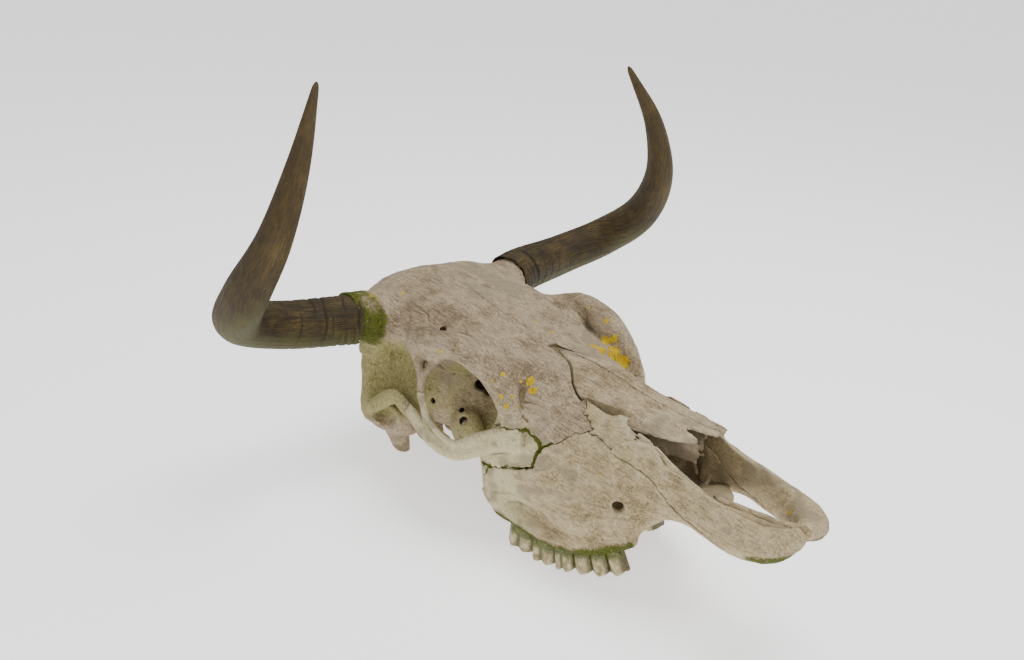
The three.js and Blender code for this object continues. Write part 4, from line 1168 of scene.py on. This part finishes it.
def weathered_horn(name):
    """Keratin sheath left outdoors: dark olive brown and dull, split into fine fibres from root to tip."""
    material, tree = new_material(name)
    fibre_place = add_node(tree, "Attribute", {}, "Vector", attribute_name="fibre")
    # Fibres under a millimetre across and some thirty long, and flakes of a few millimetres between them.
    long_place = add_node(tree, "Mapping", {"Vector": fibre_place, "Scale": (1.0, 1.0, 0.03)})
    fibres = add_node(
        tree, "TexNoise", {"Vector": long_place, "Scale": 1 / 0.9, "Detail": 5.0, "Roughness": 0.7}
    )
    short_place = add_node(tree, "Mapping", {"Vector": fibre_place, "Scale": (1.0, 1.0, 0.2)})
    flakes = add_node(
        tree, "TexNoise",
        {"Vector": short_place, "Scale": 1 / 5.0, "Detail": 6.0, "Roughness": 0.75, "Distortion": 0.5},
    )
    # Slow change of colour over three centimetres or so.
    patches = add_node(
        tree, "TexNoise", {"Vector": fibre_place, "Scale": 1 / 30.0, "Detail": 5.0, "Roughness": 0.6}
    )
    tone = add_node(tree, "Math", {0: fibres, 1: 0.5, 2: 0.0}, operation="MULTIPLY_ADD")
    tone = add_node(tree, "Math", {0: flakes, 1: 0.35, 2: tone}, operation="MULTIPLY_ADD")
    tone = add_node(tree, "Math", {0: patches, 1: 0.35, 2: tone}, operation="MULTIPLY_ADD")
    browns = [(0.42, 0x120C04), (0.84, 0x82724E), (0.56, 0x2C210C), (0.69, 0x50411E)]
    colour = add_node(tree, "ValToRGB", {0: tone}, stops=browns)
    tip = add_node(tree, "Attribute", {}, "Fac", attribute_name="tip")
    tip = add_node(tree, "MapRange", {"Value": tip, "From Min": 0.25, "From Max": 0.9, "To Max": 0.4})
    colour = add_node(tree, "Mix", {0: tip, 6: colour, 7: linear(0x4E3D20)}, 2, data_type="RGBA")
    # Dirt in the growth rings, a green film on the damp underside and a clump of moss.
    for key, texture, fray, begins, whole, most, code in (
        ("ring", fibres, 0.5, 0.5, 1.1, 0.75, 0x120D07),
        ("green", patches, 1.0, 0.75, 1.2, 0.6, 0x46471C),
        ("moss", flakes, 1.0, 1.05, 1.2, 1.0, 0x6C761C),
    ):
        _, share = frayed_share(tree, key, texture, fray, begins, whole, most)
        colour = add_node(tree, "Mix", {0: share, 6: colour, 7: linear(code)}, 2, data_type="RGBA")
    height = add_node(tree, "Math", {0: flakes, 1: 0.8, 2: fibres}, operation="MULTIPLY_ADD")
    finish_surface(tree, colour, height, 0.9, 0.0009, flakes, 0.5, 0.9, 1.54, 0.3)
    return material


finishes = {
    "frontal_bone": weathered_bone("weathered_frontal_bone", 0x6E5F49, 0x9D8B71, 0xBFAF94),
    "cheek_bone": weathered_bone("weathered_cheek_bone", 0x8C7D56, 0xB8AA80, 0xD5C9A4),
    "jaw_bone": weathered_bone("weathered_jaw_bone", 0x7D6D4E, 0xAD9B78, 0xCBBC98),
    "nasal_bone": weathered_bone("weathered_nasal_bone", 0x7C6B50, 0xAB997A, 0xC9BA9C),
}
enamel = tooth_enamel("aged_tooth_enamel")
keratin = weathered_horn("weathered_horn_keratin")

for name, (block, slot) in bones.items():
    points, quads = surface(block)
    put_mesh(name + "_bone", to_frame(points), quads, bone_values(points), finishes[slot], [name])


# ---- teeth ---------------------------------------------------------------------------------------
def tooth(length, width, lobes, around=112, rows=30):
    """One cheek tooth standing on its crown: rows of points from the chewing face up, then its basin."""
    angle = np.linspace(0, 2 * math.pi, around, endpoint=False)
    run = np.cos(angle)
    across = np.sign(np.sin(angle)) * np.abs(np.sin(angle)) ** 0.45
    share = (run + 1) / 2
    lobe = np.abs(np.sin(math.pi * lobes * share))
    waist = 0.72 + 0.28 * lobe**0.8
    # Upright ridges: one at each lobe's border and a lower one on its middle.
    border = sum(np.exp(-(((share - k / lobes) * length) / 1.1) ** 2) for k in range(lobes + 1))
    rib = sum(np.exp(-(((share - (k + 0.5) / lobes) * length) / 1.3) ** 2) for k in range(lobes))
    ridge = np.where(across > 0, 1.5 * border + 0.8 * rib, 0.4 * rib)
    half = width / 2 * waist * across + np.sign(across) * ridge
    outline = np.stack([run * length / 2 * (0.97 + 0.03 * np.abs(across)), half], -1)
    height = np.linspace(0, 1, rows) ** 1.3 * TOOTH_HEIGHT
    flare = 1.0 - 0.10 * (height / TOOTH_HEIGHT) ** 1.5
    bevel = np.where(height < 1.5, 0.9 + 0.1 * height / 1.5, 1.0)
    # The worn edge hangs lowest in the middle of each lobe, so the row ends in a line of blunt points.
    notch = np.where(across > 0, 2.6, 1.4) * (1 - lobe**0.8)
    outer = np.stack(
        [
            np.column_stack([outline * f * b, h + notch * math.exp(-h / 5)])
            for f, b, h in zip(flare, bevel, height)
        ]
    )
    basin = []
    for inward in np.linspace(0.92, 0.06, 12):
        spot = outline * 0.9 * inward
        cup = np.zeros(around)
        for k in range(lobes):
            centre = ((k + 0.5) / lobes - 0.5) * length
            ring = np.hypot((spot[:, 0] - centre) / (length / lobes), spot[:, 1] / width)
            cup += 2.6 * np.exp(-(((ring - 0.2) / 0.06) ** 2))
        basin.append(np.column_stack([spot, 0.5 + 0.8 * (inward < 0.9) + cup + notch * inward]))
    rings = np.concatenate([np.array(basin)[::-1], outer])
    count = len(rings)
    points = rings.reshape(-1, 3)
    quads = ring_quads(count, around)[:, [0, 3, 2, 1]]
    caps = [np.arange(around), (count - 1) * around + np.arange(around)[::-1]]
    groove = np.tile(np.clip(1.15 - 1.5 * lobe, 0, 1), (count, 1))
    return points, quads, caps, groove.reshape(-1)


def tooth_row(side):
    """The cheek teeth of one side, hung in a bow that sags in the middle."""
    (x0, y0), (x1, y1) = TOOTH_ROW["front"], TOOTH_ROW["back"]
    total = sum(length for length, _, _ in TEETH)
    row_length = math.hypot(x1 - x0, y1 - y0)
    turn = -math.atan2(y1 - y0, x0 - x1)
    points, faces, groove, root, start = [], [], [], [], 0
    rng = np.random.default_rng(31 if side > 0 else 32)
    for k, (length, width, lobes) in enumerate(TEETH):
        if side > 0 and k < LOST_ON_THE_LEFT:
            continue
        share = row_share(k)
        local, quads, caps, dips = tooth(length / total * row_length * 0.985, width, lobes)
        lean = math.atan2(8 * TOOTH_ROW["sag"] * (share - 0.5), row_length) + rng.uniform(-0.02, 0.02)
        drop = -TOOTH_ROW["sag"] * 4 * share * (1 - share) + rng.uniform(0, 0.8)
        x, y, z = local.T
        x, z = x * math.cos(lean) + z * math.sin(lean), -x * math.sin(lean) + z * math.cos(lean)
        x, y = x * math.cos(turn) - y * math.sin(turn), x * math.sin(turn) + y * math.cos(turn)
        bow = TOOTH_ROW["bow"] * math.sin(math.pi * share)
        placed = np.stack([x + x0 + share * (x1 - x0), y + y0 + share * (y1 - y0) + bow, z + drop], -1)
        placed[:, 1] *= side
        if side < 0:
            quads = quads[:, ::-1]
            caps = [cap[::-1] for cap in caps]
        points.append(placed)
        faces += [q for q in quads + start] + [cap + start for cap in caps]
        groove.append(dips)
        root.append(step_between(local[:, 2], 6, 24))
        start += len(placed)
    placed = to_frame(np.vstack(points))
    placed[:, 2] = np.maximum(placed[:, 2], 0.0002)
    name = "teeth_left" if side > 0 else "teeth_right"
    values = {"groove": np.concatenate(groove), "root": np.concatenate(root)}
    node_name = "maxilla_left" if side > 0 else "maxilla_right"
    put_mesh(name, placed, faces, values, enamel, [node_name])


tooth_row(1)
tooth_row(-1)


# ---- horn sheaths --------------------------------------------------------------------------------
def ripple(values_at, seed, count):
    """Smooth random line from -1 to 1 that closes on itself, read at shares of its length."""
    knots = np.random.default_rng(seed).uniform(-1, 1, count)
    at = (np.asarray(values_at) % 1.0) * count
    i = at.astype(int)
    t = at - i
    t = t * t * (3 - 2 * t)
    return knots[i % count] * (1 - t) + knots[(i + 1) % count] * t


def horn_sheath(name):
    """Hollow-rooted sheath with growth rings, fibres and a ragged lip."""
    side = 1 if name == "left" else -1
    mean_and_stray = zip(HORN, HORN_STRAY)
    line = [(x + side * dx, side * y + dy, z + side * dz) for (x, y, z, _), (dx, dy, dz) in mean_and_stray]
    radii = [(i, row[3]) for i, row in enumerate(HORN)]
    around, rings = 176, 500
    share = np.linspace(0, 1, rings) ** 0.9
    angle = np.linspace(0, 2 * math.pi, around, endpoint=False)
    share, angle = np.meshgrid(share, angle, indexing="ij")
    at = HORN_ROOT[name] + share * (1 - HORN_ROOT[name])
    middle = along(line, at)
    ahead = heading(line, at)
    over = unit(np.cross(ahead, FORWARD))
    across = np.cross(over, ahead)
    radius = column(radii, 1, at * (len(HORN) - 1))
    run = np.concatenate([[0], np.cumsum(np.linalg.norm(np.diff(middle[:, 0], axis=0), axis=1))])[:, None]
    turn = angle / (2 * math.pi)
    # Growth rings crowd at the root, oblique and uneven; the horn is fibrous and gently ridged above.
    ring = np.zeros(radius.shape)
    seed = 60 if side > 0 else 80
    for k, (spot, deep) in enumerate(GROWTH_RINGS):
        wave = spot + 2.6 * np.sin(angle + 0.5 * k) + 1.6 * ripple(turn, seed + k, 9)
        groove = deep * np.exp(-(((run - wave) / 1.5) ** 2))
        ring = np.maximum(ring, groove * (0.55 + 0.45 * ripple(turn, seed + 30 + k, 7)))
    swell = 0.9 * ripple(turn + run / 900, seed + 50, 11) * step_between(run, 0, 60)
    strands = 0.28 * ripple(turn + 0.004 * np.sin(run / 37), seed + 51, 54)
    uneven = 0.45 * np.sin(run / 23 + 2 * ripple(turn, seed + 52, 5)) * step_between(-run, -420, -80)
    thin = step_between(share, 1.0, 0.85)
    coarse = (ring + 0.35 * (swell + 0.9)) * (0.3 + 0.7 * thin)
    fine = (strands + 0.28 + 0.4 * (uneven + 0.45)) * thin
    relief = 0.55 + coarse + fine
    radius = radius - np.minimum(relief, 0.5 * radius)
    radius = radius * np.sqrt(np.clip(1 - np.clip((run - run[-1] + 7) / 7, 0, 1) ** 2, 0.002, 1))
    ragged = 1.8 * (1 + ripple(turn, seed + 53, 31)) * np.exp(-run / 7) * 0.8
    beside = across * (radius * np.cos(angle))[..., None]
    outer = middle + ahead * ragged[..., None] + beside + over * (radius * np.sin(angle))[..., None]
    lip = outer[0] + (middle[0] - outer[0]) * 0.045
    edge = outer[0] - middle[0] - ahead[0] * ragged[0][:, None]
    inner = [
        middle[0] + ahead[0] * depth + edge * (1 - thick)
        for depth, thick in ((3, 0.07), (5.5, 0.09), (7.5, 0.12))
    ]
    deepest = inner[-1] - middle[0] - ahead[0] * 7.5
    bottom = [middle[0] + ahead[0] * 8.0 + deepest * f for f in (0.9, 0.6, 0.3)]
    stack = np.concatenate([np.array(bottom[::-1]), np.array(inner[::-1]), lip[None], outer])
    count = len(stack)
    extra = count - rings
    caps = [np.arange(around)[::-1], (count - 1) * around + np.arange(around)]
    points = stack.reshape(-1, 3)

    def pad(v):
        return np.concatenate([np.repeat(v[:1], extra, 0), v]).reshape(-1, *v.shape[2:])

    fibre = np.stack([radius * np.cos(angle), radius * np.sin(angle), run + 0 * angle], -1)
    outward = across * np.cos(angle)[..., None] + over * np.sin(angle)[..., None]
    underside = np.clip(-outward[..., 2], 0, 1)
    # One clump of moss, on the right horn.
    from_moss = np.linalg.norm(outer - np.array((40, -150, 196)), axis=-1)
    if side > 0:
        from_moss = np.full(radius.shape, 99.0)
    values = {
        "fibre": pad(fibre),
        "ring": pad(np.clip(ring, 0, 1)),
        "tip": pad(share),
        "green": pad(underside * step_between(-run, -330, -120)),
        "moss": pad(np.clip(1.3 - from_moss / 9, 0, 1)),
    }
    faces = list(ring_quads(count, around)) + caps
    nodes = ["horn_" + name]
    put_mesh("horn_sheath_" + name, to_frame(points), faces, values, keratin, nodes)


horn_sheath("left")
horn_sheath("right")


# ---- floor, light and camera ---------------------------------------------------------------------
def lit_paper(name):
    """White paper lit through from below, as on a studio light table."""
    material, tree = new_material(name)
    white = linear(0xFFFFFF)
    lit = {"Emission Color": white, "Emission Strength": 0.9}
    values = {"Base Color": white, "Roughness": 0.9, "Specular IOR Level": 0.1, **lit}
    add_node(tree, "OutputMaterial", {0: add_node(tree, "BsdfPrincipled", values)}, None)
    return material


floor_mesh = bpy.data.meshes.new("floor")
floor_mesh.from_pydata([(-40, -40, 0), (40, -40, 0), (40, 40, 0), (-40, 40, 0)], [], [(0, 1, 2, 3)])
floor = bpy.data.objects.new("floor", floor_mesh)
floor_mesh.materials.append(lit_paper("pale_studio_paper"))
bpy.context.scene.collection.objects.link(floor)

world = bpy.data.worlds.new("soft_room")
world.use_nodes = True
world.node_tree.nodes["Background"].inputs[0].default_value = linear(0xFFFFFF)
world.node_tree.nodes["Background"].inputs[1].default_value = 0.5
bpy.context.scene.world = world


def lamp(name, place, aim, size, power):
    light = bpy.data.lights.new(name, "AREA")
    light.shape = "DISK"
    light.size = size
    light.energy = power
    holder = bpy.data.objects.new(name, light)
    holder.location = place
    holder.rotation_euler = (Vector(aim) - Vector(place)).to_track_quat("-Z", "Y").to_euler()
    bpy.context.scene.collection.objects.link(holder)


lamp("overhead_softbox", (0.2, 0.3, 1.9), (0, 0, 0.1), 1.3, 31)
lamp("front_softbox", (1.6, -1.6, 1.5), (0, 0, 0.15), 1.2, 15)


def direction(v):
    """A direction of the skull's frame in the part's frame."""
    x, y, z = v
    return Vector((x * math.cos(TIP) - z * math.sin(TIP), y, x * math.sin(TIP) + z * math.cos(TIP)))


camera = bpy.data.cameras.new("camera")
camera.sensor_width = 36.0
camera.lens = 36.91
viewer = bpy.data.objects.new("camera", camera)
right = direction((0.65108472, 0.75295137, -0.09567085))
above = direction((-0.1022036, 0.21187211, 0.9719386))
back = direction((0.75209249, -0.62303647, 0.21490104))
viewer.matrix_world = Matrix.Translation(Vector(to_frame([(945.68719, -649.39624, 411.92894)])[0])) @ Matrix(
    (right, above, back)
).transposed().to_4x4()
bpy.context.scene.collection.objects.link(viewer)
bpy.context.scene.camera = viewer
